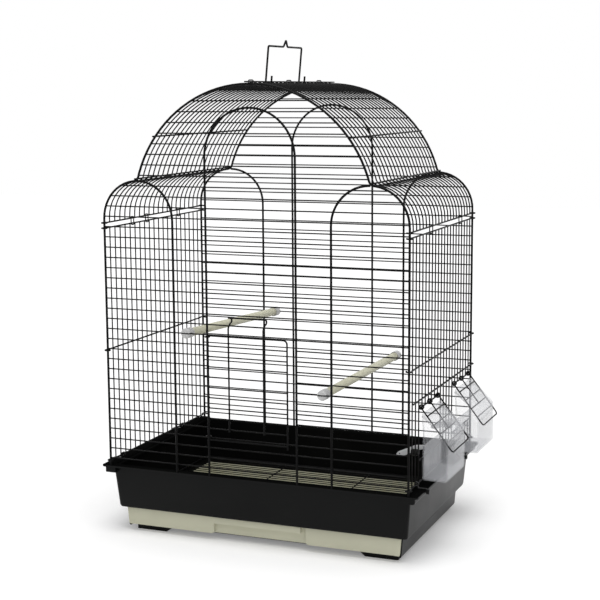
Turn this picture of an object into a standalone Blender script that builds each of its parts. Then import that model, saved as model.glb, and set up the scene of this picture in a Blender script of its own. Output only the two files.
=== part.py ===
"""Scallop top bird cage: a welded wire cage on a plastic base with a drawer and two hooded cups.

Metres, +Z up, the front of the cage faces -Y. The feet stand on Z = 0 and the origin lies
under the middle of the whole object's box, so the cage itself sits a little to -X of it.
"""
import math

import bmesh
import bpy
from mathutils import Matrix, Vector

# Clearances
GAP = 0.0003
RUNNING_GAP = 0.0008
PLANE_SHIFT = 0.0001

# Wire mesh, all counted from one pitch
WIRE_PITCH = 0.016
THIN_HALF = 0.00085
CAGE_WIDTH = 0.494
CAGE_DEPTH = 0.341
SIDE_HEIGHT = 0.391
FIRST_ROW_RISE = 0.011
ROW_INSET = 0.0008

# Front and back frames
POST_HALF = 0.0017
LEG_HALF = 0.0016
LOBE_RADIUS = 0.0593
CENTRE_ARCH_HALF_SPAN = 0.0728
CENTRE_ARCH_EXTRA = 0.097
DOME_RISE = 0.1452
WELD_HALF = 0.0006

# Cross bars of the sides and the roof
BAR_HALF = 0.0012
SIDE_TOP_HEIGHT = 0.3653
SIDE_MID_HEIGHT = 0.1733
FEEDER_GUARD_HEIGHT = 0.1220
FEEDER_TOP_HEIGHT = 0.1080
FEEDER_SILL_HEIGHT = 0.0295
ROOF_BAR_DROP = 0.0065
DOME_BAR_ANGLE = 53.7
RIDGE_BAR_HALF = 0.0011
RIDGE_BAR_SPACING = 0.0026
VALLEY_BAR_SHIFT = 1.1

# Hooks of the cross bars round the posts, in ring radii from the post
HOOK_JOG_RUN = 1.6
HOOK_NEAR_RUN = 0.5

# Straight runs that stand for the round bends
LOBE_STEPS = 10
ARCH_STEPS = 12
DOME_STEPS = 16
ROOF_DOME_STEPS = 8
RIDGE_TURN = 87.0
LEG_SHIFT_START = 63.0

# Handle
HANDLE_WIRE_HALF = 0.0015
HANDLE_HEIGHT = 0.053
HANDLE_FRONT_Y = -0.0965
HANDLE_WIDTH = 0.1335
HANDLE_PEAK = 0.0098
HANDLE_LEAN = 5.4
HANDLE_CORNER = 0.003
HANDLE_HOOK_ROOM = 1.05
HANDLE_NOTCH = 0.4

# Front door, sized in rows of the mesh
DOOR_BOTTOM_ROW = 3
DOOR_TOP_ROW = 13
DOOR_WIRE_HALF = 0.0013
DOOR_SIDE_HALF = 0.001248
DOOR_FOOT_HALF = 0.001196
DOOR_RING_HALF = 0.001105
DOOR_CORNER = 0.006
DOOR_LATCH_GAP = 0.0131
DOOR_INNER_LEFT = 0.0379
DOOR_INNER_RIGHT = 0.0951
LATCH_BULGE = 0.0025
DOOR_LEFT_OFFSET = 0.0028

# Feeders, placed by the side wires that bound their openings
FEEDER_FIRST_WIRES = (3, 14)
FEEDER_WIRE_SPAN = 7
FLAP_WIDTH = 0.092
FLAP_LENGTH = 0.081
FLAP_SLOPE = 52.6
FLAP_WIRE_HALF = 0.0011
FLAP_RING_HALF = 0.00099
FLAP_CENTRE_HALF = 0.00088
FLAP_CROSS_HALF = 0.00077
FLAP_CROSS_WIRES = 4
FLAP_CENTRE_REACH = 0.62
FLAP_CORNER = 0.005
CUP_WIDTH = 0.100
CUP_STANDOFF = 0.0034
CUP_REACH = 0.039
CUP_BOTTOM = -0.003
CUP_SILL = 0.049
CUP_WALL = 0.002
CUP_TONGUE_LENGTH = 0.036
CUP_TONGUE_WIDTH = 0.012
CUP_TONGUE_THICKNESS = 0.0024
CUP_TONGUE_DROP = 0.016
CUP_BUTTON_HEIGHT = 0.042
CUP_BUTTON_RADIUS = 0.005
CUP_BUTTON_LENGTH = 0.011

# Perches: X and row at the front, X and row at the back
LEFT_PERCH_FRONT_X = -0.110
LEFT_PERCH_BACK_X = -0.104
RIGHT_PERCH_FRONT_X = 0.113
RIGHT_PERCH_BACK_X = 0.118
PERCHES = {"left": (LEFT_PERCH_FRONT_X, 13, LEFT_PERCH_BACK_X, 12),
           "right": (RIGHT_PERCH_FRONT_X, 8, RIGHT_PERCH_BACK_X, 8)}
PERCH_RADIUS = 0.0065
PERCH_CAP_GAP = 0.0004
PERCH_CAP_WALL = 0.0010
PERCH_CAP_DEPTH = 0.014
PERCH_CAP_NOSE = 0.0035

# Plastic base
FOOT_HEIGHT = 0.0055
HOUSING_HEIGHT = 0.034
TRAY_HEIGHT = 0.073
RIM_OVERHANG_X = 0.015
RIM_OVERHANG_Y = 0.006
RIM_THICKNESS = 0.0025
RIM_STEP_OUT = 0.010
RIM_STEP_HEIGHT = 0.009
RIM_STEP_WALL = 0.0025
TRAY_WALL = 0.0028
TRAY_TOP_INSET_X = 0.001
TRAY_TOP_INSET_Y = 0.003
TRAY_DRAFT_X = 0.006
TRAY_DRAFT_Y = 0.016
LEDGE_WIDTH = 0.009
HOUSING_INSET_X = 0.008
HOUSING_INSET_FRONT = 0.010
HOUSING_INSET_BACK = 0.006
HOUSING_WALL = 0.003
HOUSING_DRAFT = 0.003
FOOT_LENGTH = 0.053
FOOT_WIDTH = 0.030
FOOT_TAPER = 0.010
FOOT_INSET = 0.011

# Drawer
DRAWER_WALL = 0.002
DRAWER_FRONT = 0.004
DRAWER_FRONT_LIP = 0.003
GRIP_WIDTH = 0.155
GRIP_HEIGHT = 0.019
GRIP_DEPTH = 0.0022

# Grate over the drawer
GRATE_PITCH = 0.010
GRATE_WIRE_HALF = 0.0008
GRATE_FRAME_HALF = 0.0014
GRATE_BAR_X = 0.077
GRATE_BAR_HALF = 0.0010

# Ring clips, by the wire gap that they pass through
RING_HALF = 0.0009
LEFT_CLIP_GAPS = (5, 8, 15)
RIGHT_CLIP_GAPS = (6, 16)
RIDGE_CLIP_GAPS = (0, 9, 17)

# Clips that swing on the sides' bottom bars and grip the base's rim
CLIP_GAPS = (2, 15)
CLIP_WIDTH = 0.005
CLIP_BORE_RADIUS = 0.00215
CLIP_BARREL_WALL = 0.0011
CLIP_ARM_THICKNESS = 0.0022
CLIP_HOOK_DROP = 0.005
CLIP_NUB = 0.0047
BOTTOM_BAR_RISE = 0.007

# Colours: base colour, roughness, metallic, transmission
POWDER_BLACK = ("powder_coated_steel", (0.012, 0.012, 0.014), 0.42, 0.0, 0.0)
BASE_BLACK = ("moulded_black_plastic", (0.014, 0.015, 0.015), 0.5, 0.0, 0.0)
CREAM = ("cream_plastic", (0.50, 0.48, 0.36), 0.5, 0.0, 0.0)
CLEAR = ("clear_plastic", (0.85, 0.86, 0.88), 0.08, 0.0, 0.9)
MILKY = ("milky_plastic", (0.62, 0.63, 0.66), 0.35, 0.0, 0.4)

# Levels and spans worked out from the sizes above
HALF_WIDTH = CAGE_WIDTH / 2
HALF_DEPTH = CAGE_DEPTH / 2
HOUSING_TOP = FOOT_HEIGHT + HOUSING_HEIGHT
RIM_Z = HOUSING_TOP + TRAY_HEIGHT
ROW_ZERO = RIM_Z + FIRST_ROW_RISE
SPRING_Z = RIM_Z + SIDE_HEIGHT
LOBE_CENTRE_X = HALF_WIDTH - LOBE_RADIUS
LOBE_LEG_X = HALF_WIDTH - 2 * LOBE_RADIUS
LOBE_TOP_Z = SPRING_Z + LOBE_RADIUS
DOME_RADIUS = (LOBE_CENTRE_X ** 2 + DOME_RISE ** 2) / (2 * DOME_RISE)
RIDGE_Z = LOBE_TOP_Z + DOME_RISE
DOME_CENTRE_Z = RIDGE_Z - DOME_RADIUS
DOME_FOOT_ANGLE = math.asin((LOBE_TOP_Z - DOME_CENTRE_Z) / DOME_RADIUS)
DOME_BAR_OFFSET = POST_HALF + GAP + BAR_HALF
RIDGE_BAR_Z = RIDGE_Z + POST_HALF + GAP + RIDGE_BAR_HALF
SIDE_GAPS = round(CAGE_DEPTH / WIRE_PITCH)
SIDE_STEP = CAGE_DEPTH / SIDE_GAPS
LEG_OUTSET = POST_HALF + GAP + THIN_HALF - ROW_INSET
LEG_Y = HALF_DEPTH + LEG_OUTSET
ROW_Y = HALF_DEPTH - ROW_INSET
DOOR_Y = LEG_Y + POST_HALF + 2 * GAP + DOOR_WIRE_HALF
DOOR_ROW_Y = DOOR_Y - DOOR_WIRE_HALF + THIN_HALF + PLANE_SHIFT
LATCH_Y = DOOR_ROW_Y + THIN_HALF + GAP + DOOR_WIRE_HALF
HINGE_RING_RADIUS = LEG_HALF * math.sqrt(2) + GAP + DOOR_RING_HALF + GAP
BAR_OUTSET = THIN_HALF + GAP + BAR_HALF
FLAP_RING_RADIUS = BAR_HALF * math.sqrt(2) + GAP + FLAP_WIRE_HALF + GAP
FLAP_REACH = ((FLAP_LENGTH + FLAP_WIRE_HALF) * math.cos(math.radians(FLAP_SLOPE))
              + FLAP_WIRE_HALF * math.sin(math.radians(FLAP_SLOPE)))
RIM_HALF_X = HALF_WIDTH + RIM_OVERHANG_X
RIM_HALF_Y = HALF_DEPTH + RIM_OVERHANG_Y
CLIP_HOOK_X = RIM_HALF_X + GAP
CLIP_REACH = CLIP_HOOK_X + CLIP_NUB
CAGE_X = (CLIP_REACH - max(HALF_WIDTH + FLAP_REACH, CLIP_REACH)) / 2
CAGE_Y = (max(LATCH_Y + DOOR_WIRE_HALF, RIM_HALF_Y) - RIM_HALF_Y) / 2


def row_z(index):
    """Height of one horizontal wire of the front and back."""
    return ROW_ZERO + index * WIRE_PITCH


def side_y(index):
    """Place along the depth of one upright wire of the sides and roof."""
    return -HALF_DEPTH + index * SIDE_STEP


def gap_y(index):
    """Middle of the gap behind one upright wire."""
    return side_y(index + 0.5)


def under_row(height):
    """Lifts a bar's height to just below the next horizontal wire, which its hook has to miss."""
    row = math.ceil(height / WIRE_PITCH)
    drop = max(row * WIRE_PITCH - height, THIN_HALF + BAR_HALF + 2 * GAP)
    return row_z(row) - min(drop, WIRE_PITCH - THIN_HALF - BAR_HALF - 2 * GAP)


SIDE_TOP_Z = under_row(SIDE_TOP_HEIGHT)
SIDE_MID_Z = under_row(SIDE_MID_HEIGHT)
FEEDER_GUARD_Z = under_row(FEEDER_GUARD_HEIGHT)
FEEDER_TOP_Z = under_row(FEEDER_TOP_HEIGHT)
FEEDER_SILL_Z = under_row(FEEDER_SILL_HEIGHT)
ROOF_BAR_Z = SIDE_TOP_Z + ROOF_BAR_DROP + 2 * THIN_HALF
BOTTOM_BAR_Z = RIM_Z + BOTTOM_BAR_RISE


def material(finish):
    """One Principled material for each finish."""
    name, colour, roughness, metallic, transmission = finish
    found = bpy.data.materials.get(name)
    if found:
        return found
    made = bpy.data.materials.new(name)
    made.use_nodes = True
    shader = made.node_tree.nodes["Principled BSDF"]
    shader.inputs["Base Color"].default_value = (*colour, 1.0)
    shader.inputs["Roughness"].default_value = roughness
    shader.inputs["Metallic"].default_value = metallic
    shader.inputs["Transmission Weight"].default_value = transmission
    made.diffuse_color = (*colour, 1.0)
    return made


def add_object(name, shells, finish, pivot=(0.0, 0.0, 0.0), guide=False):
    """Makes one object from a bmesh, with its origin at the pivot, under the cage's empty."""
    bmesh.ops.recalc_face_normals(shells, faces=shells.faces)
    bmesh.ops.translate(shells, verts=shells.verts, vec=-Vector(pivot))
    mesh = bpy.data.meshes.new(name)
    shells.to_mesh(mesh)
    shells.free()
    made = bpy.data.objects.new(name, mesh)
    bpy.context.collection.objects.link(made)
    made.parent = bpy.data.objects["cage_middle"]
    made.location = pivot
    if finish:
        mesh.materials.append(material(finish))
    if guide:
        made.hide_render = True
        made.display_type = "WIRE"
    return made


def boolean(body, operation, shells):
    """Adds a live Boolean with a hidden operand that shares the body's origin."""
    guide = add_object(f"{body.name}_{operation.lower()}_{len(body.modifiers)}", shells, None,
                       pivot=tuple(body.location), guide=True)
    step = body.modifiers.new(operation.lower(), "BOOLEAN")
    step.operation = operation
    step.solver = "EXACT"
    step.object = guide


def welded(name, groups, finish, pivot=(0.0, 0.0, 0.0)):
    """Welds groups of wires into one solid. Wires of one group don't touch each other."""
    body = add_object(name, groups[0], finish, pivot)
    for group in groups[1:]:
        boolean(body, "UNION", group)
    return body


def tube(shells, points, half, side, closed=False):
    """A square wire along a path, mitred at its bends. Side is a direction across the first run."""
    path = [Vector(point) for point in points]
    count = len(path)
    runs = [(path[(i + 1) % count] - path[i]).normalized() for i in range(count if closed else count - 1)]
    first = (Vector(side) - Vector(side).dot(runs[0]) * runs[0]).normalized()
    second = runs[0].cross(first)
    corners = [(a * first + b * second) * half for a, b in ((1, 1), (-1, 1), (-1, -1), (1, -1))]
    rings = []
    for i, point in enumerate(path):
        ahead = runs[i % len(runs)] if closed or i < len(runs) else runs[-1]
        behind = runs[i - 1] if closed or i > 0 else runs[0]
        plane = (ahead + behind).normalized()
        source = behind if i > 0 else ahead
        placed = [point + c - source * (c.dot(plane) / source.dot(plane)) for c in corners]
        corners = [(p - point) - (p - point).dot(ahead) * ahead for p in placed]
        rings.append([shells.verts.new(p) for p in placed])
    skin(shells, rings, closed)


def skin(shells, rings, closed):
    """Joins a list of rings of vertices, and caps the ends or joins them round."""
    for i in range(len(rings) if closed else len(rings) - 1):
        low, high = rings[i], rings[(i + 1) % len(rings)]
        for a in range(len(low)):
            b = (a + 1) % len(low)
            shells.faces.new((low[a], low[b], high[b], high[a]))
    if not closed:
        shells.faces.new(list(reversed(rings[0])))
        shells.faces.new(rings[-1])


def block(shells, low, high):
    """A box between two corners."""
    size = [high[i] - low[i] for i in range(3)]
    middle = [(high[i] + low[i]) / 2 for i in range(3)]
    place = Matrix.Translation(middle) @ Matrix.Diagonal((*size, 1.0))
    bmesh.ops.create_cube(shells, size=1.0, matrix=place)


def frustum(shells, low, high):
    """A drafted block between two rectangles (x0, x1, y0, y1, z)."""
    rings = []
    for x0, x1, y0, y1, z in (low, high):
        rings.append([shells.verts.new(p) for p in ((x0, y0, z), (x1, y0, z), (x1, y1, z), (x0, y1, z))])
    skin(shells, rings, closed=False)


def prism(shells, outline, y0, y1):
    """An outline in X and Z, drawn out along Y."""
    rings = [[shells.verts.new((x, y, z)) for x, z in outline] for y in (y0, y1)]
    skin(shells, rings, closed=False)


def drum(shells, start, end, radius, sides=12):
    """A round bar between two points."""
    axis = Vector(end) - Vector(start)
    place = Matrix.Translation((Vector(start) + Vector(end)) / 2)
    turn = axis.to_track_quat("Z", "Y").to_matrix().to_4x4()
    bmesh.ops.create_cone(shells, cap_ends=True, segments=sides, radius1=radius, radius2=radius,
                          depth=axis.length, matrix=place @ turn)


def arc(centre, radius, start, end, steps):
    """Points on an arc in the X-Z plane, in degrees from +X, as (x, z)."""
    turn = [math.radians(start + (end - start) * i / steps) for i in range(steps + 1)]
    return [(centre[0] + radius * math.cos(a), centre[1] + radius * math.sin(a)) for a in turn]


def ring(shells, centre, radius, half, axis, sides=8):
    """A closed wire ring round an axis, 'X', 'Y' or 'Z'."""
    points = []
    for i in range(sides):
        turn = 2 * math.pi * (i + 0.5) / sides
        a, b = radius * math.cos(turn), radius * math.sin(turn)
        offset = {"X": (0, a, b), "Y": (a, 0, b), "Z": (a, b, 0)}[axis]
        points.append(tuple(centre[k] + offset[k] for k in range(3)))
    side = {"X": (1, 0, 0), "Y": (0, 1, 0), "Z": (0, 0, 1)}[axis]
    tube(shells, points, half, side, closed=True)


def row_reach(z):
    """Half the width of the front frame at a height, to the middle of its outer wire."""
    if z <= SPRING_Z:
        return HALF_WIDTH
    if z < LOBE_TOP_Z:
        return LOBE_CENTRE_X + math.sqrt(LOBE_RADIUS ** 2 - (z - SPRING_Z) ** 2)
    return math.sqrt(DOME_RADIUS ** 2 - (z - DOME_CENTRE_Z) ** 2)


def outer_lobe():
    """Corners of the outer half of the right lobe, in X and Z, from the post to its top."""
    return arc((LOBE_CENTRE_X, SPRING_Z), LOBE_RADIUS, 0, 90, LOBE_STEPS // 2)


def outline_at(z):
    """Where a corner post, or the lobe it bends into, is at a height, and how much it leans."""
    corners = [(HALF_WIDTH, 0.0)] + outer_lobe()
    for (low_x, low_z), (high_x, high_z) in zip(corners, corners[1:]):
        if z <= high_z:
            lean = (low_x - high_x) / (high_z - low_z)
            return low_x - lean * (z - low_z), lean
    return corners[-1][0], 0.0


def outline_run(low, high):
    """Path of a thin wire in X and Z that follows the posts and the lobe between two heights."""
    bends = [corner for corner in outer_lobe() if low < corner[1] < high]
    return [(outline_at(low)[0], low)] + bends + [(outline_at(high)[0], high)]


def lobe_rod(shells, hand, side, foot_z):
    """Corner post, half-round lobe and inner leg, one bent rod. The inner leg stands proud."""
    points = [(hand * HALF_WIDTH, side * HALF_DEPTH, foot_z)]
    for step in range(LOBE_STEPS + 1):
        turn = 180.0 * step / LOBE_STEPS
        shift = min(max((turn - LEG_SHIFT_START) / (90.0 - LEG_SHIFT_START), 0.0), 1.0) * LEG_OUTSET
        x = hand * (LOBE_CENTRE_X + LOBE_RADIUS * math.cos(math.radians(turn)))
        z = SPRING_Z + LOBE_RADIUS * math.sin(math.radians(turn))
        points.append((x, side * (HALF_DEPTH + shift), z))
    points.append((hand * LOBE_LEG_X, side * LEG_Y, foot_z))
    tube(shells, points, POST_HALF, (0, 1, 0))


def centre_arch(shells, side, foot_z):
    """Tall arch in the middle, which the door hangs on at the front."""
    spring = SPRING_Z + CENTRE_ARCH_EXTRA
    points = [(CENTRE_ARCH_HALF_SPAN, side * LEG_Y, foot_z)]
    points += [(x, side * LEG_Y, z) for x, z in arc((0, spring), CENTRE_ARCH_HALF_SPAN, 0, 180, ARCH_STEPS)]
    points.append((-CENTRE_ARCH_HALF_SPAN, side * LEG_Y, foot_z))
    tube(shells, points, LEG_HALF, (0, 1, 0))


def dome_rod(shells, side):
    """Big arc from one lobe's top to the other."""
    foot = math.degrees(DOME_FOOT_ANGLE)
    curve = arc((0, DOME_CENTRE_Z), DOME_RADIUS, foot, 180 - foot, DOME_STEPS)
    tube(shells, [(x, side * HALF_DEPTH, z) for x, z in curve], POST_HALF, (0, 1, 0))


def row_count():
    """Rows that fit below the dome's top wire."""
    return int((RIDGE_Z - 0.5 * WIRE_PITCH - ROW_ZERO) / WIRE_PITCH) + 1


def rows(shells, side, opening):
    """Horizontal wires, cut away between the centre legs where the door is."""
    for index in range(row_count()):
        z = row_z(index)
        reach = row_reach(z)
        y = side * ROW_Y
        if opening and DOOR_BOTTOM_ROW < index < DOOR_TOP_ROW:
            inner = CENTRE_ARCH_HALF_SPAN - LEG_HALF
            spans = ((-reach, -inner), (inner, reach))
        else:
            spans = ((-reach, reach),)
        for start, end in spans:
            tube(shells, [(start, y, z), (end, y, z)], THIN_HALF, (0, 1, 0))


def leg_welds(shells, side):
    """Spot welds that tie the proud legs and arches to some of the rows."""
    top_row = int((SPRING_Z - ROW_ZERO) / WIRE_PITCH)
    arch_row = int((SPRING_Z + CENTRE_ARCH_EXTRA - ROW_ZERO) / WIRE_PITCH)
    places = []
    for hand in (-1, 1):
        places += [(hand * LOBE_LEG_X, index) for index in (0, DOOR_BOTTOM_ROW + 5, top_row)]
        places += [(hand * CENTRE_ARCH_HALF_SPAN, index)
                   for index in (DOOR_BOTTOM_ROW, DOOR_BOTTOM_ROW + 5, DOOR_TOP_ROW, arch_row)]
    for x, index in places:
        tube(shells, [(x, side * ROW_Y, row_z(index)), (x, side * LEG_Y, row_z(index))],
             WELD_HALF, (1, 0, 0))


def end_panel(name, side, opening):
    """Front or back: two lobe rods, the centre arch, the dome rod and the rows."""
    foot_z = RIM_Z + GAP
    rods, dome, wires, welds = (bmesh.new() for _ in range(4))
    for hand in (-1, 1):
        lobe_rod(rods, hand, side, foot_z)
    centre_arch(rods, side, foot_z)
    dome_rod(dome, side)
    rows(wires, side, opening)
    leg_welds(welds, side)
    welded(name, (rods, dome, wires, welds), POWDER_BLACK)


def hooked_bar(shells, hand, z, outward):
    """A bar along the depth whose ends bend round the corner posts, or round their lobes."""
    post_x, lean = outline_at(z)
    room = POST_HALF * math.sqrt(2 + 2 * lean ** 2) + BAR_HALF * lean + GAP
    radius = room / math.cos(math.pi / 8) + BAR_HALF
    jog = HALF_DEPTH - HOOK_JOG_RUN * radius
    middle = [(hand * (post_x + outward), -jog, z), (hand * (post_x + outward), jog, z)]
    end = []
    for step in range(5):
        turn = math.radians(45 * step)
        end.append((hand * (post_x + radius * math.cos(turn)), HALF_DEPTH + radius * math.sin(turn), z))
    near = (hand * (post_x + radius), HALF_DEPTH - HOOK_NEAR_RUN * radius, z)
    start = [(px, -py, pz) for px, py, pz in reversed([near] + end)]
    tube(shells, start + middle + [near] + end, BAR_HALF, (0, 0, 1))


def side_panel(name, hand, feeders):
    """Left or right side: upright wires between hooked bars, with feeder openings on the right."""
    bars, wires, frames, outer, welds = (bmesh.new() for _ in range(5))
    hooked_bar(bars, hand, SIDE_TOP_Z, 0.0)
    hooked_bar(bars, hand, BOTTOM_BAR_Z, 0.0)
    cut = set()
    for first in FEEDER_FIRST_WIRES if feeders else ():
        cut.update(range(first + 1, first + FEEDER_WIRE_SPAN))
    for index in range(1, SIDE_GAPS):
        y = side_y(index)
        levels = [BOTTOM_BAR_Z, SIDE_TOP_Z]
        if index in cut:
            levels = [BOTTOM_BAR_Z, FEEDER_SILL_Z, FEEDER_TOP_Z, SIDE_TOP_Z]
        for low, high in zip(levels[::2], levels[1::2]):
            tube(wires, [(hand * px, y, pz) for px, pz in outline_run(low, high)], THIN_HALF, (0, 1, 0))
    hooked_bar(outer, hand, SIDE_MID_Z, BAR_OUTSET)
    levels = [SIDE_MID_Z]
    if feeders:
        hooked_bar(outer, hand, FEEDER_GUARD_Z, BAR_OUTSET)
        levels.append(FEEDER_GUARD_Z)
        feeder_frames(frames, hand * HALF_WIDTH)
    for index in (1, 2, SIDE_GAPS // 2 + 1, SIDE_GAPS - 1):
        for level in levels:
            x = hand * outline_at(level)[0]
            tube(welds, [(x, side_y(index), level), (x + hand * BAR_OUTSET, side_y(index), level)],
                 WELD_HALF, (0, 1, 0))
    groups = (bars, wires, frames, outer, welds) if feeders else (bars, wires, outer, welds)
    if not feeders:
        frames.free()
    welded(name, groups, POWDER_BLACK)


def feeder_span(first):
    """Y of the two wires that bound a feeder opening. The last one stops short of the post."""
    far = side_y(first + FEEDER_WIRE_SPAN)
    if first + FEEDER_WIRE_SPAN >= SIDE_GAPS:
        far = HALF_DEPTH - POST_HALF - GAP
    return side_y(first), far


def feeder_frames(shells, x):
    """Head and sill wires of the feeder openings. The head is the flap's hinge bar."""
    for first in FEEDER_FIRST_WIRES:
        near, far = feeder_span(first)
        for z in (FEEDER_SILL_Z, FEEDER_TOP_Z):
            tube(shells, [(x, near, z), (x, far, z)], BAR_HALF, (0, 0, 1))


def roof_profile():
    """Path of one roof wire in X and Z: up the side, over the lobe, up the dome to the ridge."""
    points = outline_run(ROOF_BAR_Z, LOBE_TOP_Z)
    foot = math.degrees(DOME_FOOT_ANGLE)
    points += arc((0, DOME_CENTRE_Z), DOME_RADIUS, foot, RIDGE_TURN, ROOF_DOME_STEPS)[1:]
    points.append((RIDGE_BAR_SPACING / 2, RIDGE_BAR_Z))
    return points


def roof_half(name, hand):
    """One half of the roof, hooked to the posts below and clipped to its twin at the ridge."""
    bars, wires, welds = (bmesh.new() for _ in range(3))
    hooked_bar(bars, hand, ROOF_BAR_Z, 0.0)
    end = HALF_DEPTH + 2 * BAR_HALF
    ridge_x = hand * RIDGE_BAR_SPACING / 2
    tube(bars, [(ridge_x, -end, RIDGE_BAR_Z), (ridge_x, end, RIDGE_BAR_Z)], RIDGE_BAR_HALF, (0, 0, 1))
    profile = roof_profile()
    for index in range(1, SIDE_GAPS):
        tube(wires, [(hand * px, side_y(index), pz) for px, pz in profile], THIN_HALF, (0, 1, 0))
    angle = math.radians(90 - DOME_BAR_ANGLE)
    bar_radius = DOME_RADIUS + DOME_BAR_OFFSET
    dome_bar = (hand * bar_radius * math.cos(angle), DOME_CENTRE_Z + bar_radius * math.sin(angle))
    dome_wire = (hand * DOME_RADIUS * math.cos(angle), DOME_CENTRE_Z + DOME_RADIUS * math.sin(angle))
    valley_wire = (hand * LOBE_CENTRE_X, LOBE_TOP_Z)
    shift = DOME_BAR_OFFSET * VALLEY_BAR_SHIFT
    valley_bar = (valley_wire[0] + hand * shift, LOBE_TOP_Z + shift)
    for bar, wire in ((dome_bar, dome_wire), (valley_bar, valley_wire)):
        radial = (bar[0] - wire[0], 0.0, bar[1] - wire[1])
        tube(bars, [(bar[0], -end, bar[1]), (bar[0], end, bar[1])], BAR_HALF, radial)
        for index in (1, SIDE_GAPS // 2, SIDE_GAPS - 1):
            y = side_y(index)
            tube(welds, [(wire[0], y, wire[1]), (bar[0], y, bar[1])], WELD_HALF, (0, 1, 0))
    welded(name, (wires, bars, welds), POWDER_BLACK)


def front_door():
    """Door on the centre arch's left leg, which it turns round, with a sprung U latch on top."""
    axis = (-CENTRE_ARCH_HALF_SPAN, -LEG_Y)
    left = axis[0] + DOOR_LEFT_OFFSET
    right = CENTRE_ARCH_HALF_SPAN - DOOR_LATCH_GAP
    top, bottom = row_z(DOOR_TOP_ROW), row_z(DOOR_BOTTOM_ROW) - THIN_HALF * 2
    plane = -DOOR_Y
    outline, uprights, wires, latch, rings, welds = (bmesh.new() for _ in range(6))
    corner = (right - DOOR_CORNER, top - DOOR_CORNER)
    bend = [(x, plane, z) for x, z in arc(corner, DOOR_CORNER, 0, 90, 3)]
    tube(outline, [(right, plane, bottom - 4 * DOOR_WIRE_HALF)] + bend + [(left, plane, top)],
         DOOR_WIRE_HALF, (0, 1, 0))
    tube(uprights, [(left, plane, bottom - 2 * DOOR_WIRE_HALF), (left, plane, top + 2 * DOOR_WIRE_HALF)],
         DOOR_SIDE_HALF, (0, 1, 0))
    tube(wires, [(left, plane, bottom), (right, plane, bottom)], DOOR_FOOT_HALF, (0, 1, 0))
    for index in range(DOOR_BOTTOM_ROW + 1, DOOR_TOP_ROW):
        tube(wires, [(left, -DOOR_ROW_Y, row_z(index)), (right, -DOOR_ROW_Y, row_z(index))],
             THIN_HALF, (0, 1, 0))
    door_latch(latch, -LATCH_Y, row_z(DOOR_BOTTOM_ROW + 1))
    for x in (axis[0] + DOOR_INNER_LEFT, axis[0] + DOOR_INNER_RIGHT):
        for index in (DOOR_BOTTOM_ROW + 1, DOOR_BOTTOM_ROW + 5):
            tube(welds, [(x, -DOOR_ROW_Y, row_z(index)), (x, -LATCH_Y, row_z(index))],
                 WELD_HALF, (1, 0, 0))
    drop = THIN_HALF + DOOR_RING_HALF + 2 * GAP
    for z in (top - drop, row_z(DOOR_BOTTOM_ROW) + drop):
        ring(rings, (axis[0], axis[1], z), HINGE_RING_RADIUS, DOOR_RING_HALF, "Z")
    welded("front_door", (outline, uprights, wires, rings, latch, welds), POWDER_BLACK,
           pivot=(axis[0], axis[1], (top + bottom) / 2))


def door_latch(shells, plane, foot_z):
    """Inner uprights of the door, joined above it by a U that bulges in between two rows."""
    low, high = row_z(DOOR_TOP_ROW + 1), row_z(DOOR_TOP_ROW + 2)
    inner_y = DOOR_WIRE_HALF + THIN_HALF + LATCH_BULGE - ROW_Y
    lead = DOOR_WIRE_HALF + THIN_HALF + GAP
    halves = []
    for offset in (DOOR_INNER_LEFT, DOOR_INNER_RIGHT):
        x = -CENTRE_ARCH_HALF_SPAN + offset
        halves.append([(x, plane, foot_z - 2 * DOOR_WIRE_HALF), (x, plane, low - lead),
                       (x, -ROW_Y - lead, low + 1.5 * lead), (x, inner_y, low + 2.3 * lead),
                       (x, inner_y, high - 2.3 * lead), (x, plane, high - lead)])
    tube(shells, halves[0] + list(reversed(halves[1])), DOOR_WIRE_HALF, (1, 0, 0))


def feeder_flap(name, first):
    """Wire flap with three rings round the head wire of its opening, lying on the cup."""
    near, far = feeder_span(first)
    middle = (near + side_y(first + FEEDER_WIRE_SPAN)) / 2
    slope = math.radians(FLAP_SLOPE)
    down = Vector((math.cos(slope), 0.0, -math.sin(slope)))
    pivot = Vector((HALF_WIDTH, middle, FEEDER_TOP_Z))
    half = FLAP_WIDTH / 2

    def at(run, across):
        return tuple(pivot + down * run + Vector((0.0, across, 0.0)))

    frame, rings, wires = (bmesh.new() for _ in range(3))
    start, turn = FLAP_RING_RADIUS, FLAP_LENGTH - FLAP_CORNER
    inner = half - FLAP_CORNER
    tube(frame, [at(start, -half), at(turn, -half), at(FLAP_LENGTH, -inner), at(FLAP_LENGTH, inner),
                 at(turn, half), at(start, half)], FLAP_WIRE_HALF, (0, 1, 0))
    for across in (-half, 0.0, half):
        ring(rings, (pivot.x, pivot.y + across, pivot.z), FLAP_RING_RADIUS, FLAP_RING_HALF, "Y")
    for step in range(1, FLAP_CROSS_WIRES + 1):
        run = FLAP_LENGTH * step / (FLAP_CROSS_WIRES + 1)
        tube(rings, [at(run, -half), at(run, half)], FLAP_CROSS_HALF, (0, 0, 1))
    tube(wires, [at(start, 0.0), at(FLAP_LENGTH * FLAP_CENTRE_REACH, 0.0)], FLAP_CENTRE_HALF, (0, 1, 0))
    welded(name, (frame, rings, wires), POWDER_BLACK, pivot=tuple(pivot))


def cup_sizes(first):
    """One cup's ends along Y, its inner and outer X and how high the flap lies above those two."""
    middle = (side_y(first) + side_y(first + FEEDER_WIRE_SPAN)) / 2
    inner = HALF_WIDTH + CUP_STANDOFF
    outer = inner + CUP_REACH
    slope = math.tan(math.radians(FLAP_SLOPE))
    flap_z = [FEEDER_TOP_Z - (x - HALF_WIDTH) * slope for x in (inner, outer)]
    return middle - CUP_WIDTH / 2, middle + CUP_WIDTH / 2, inner, outer, flap_z


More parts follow.
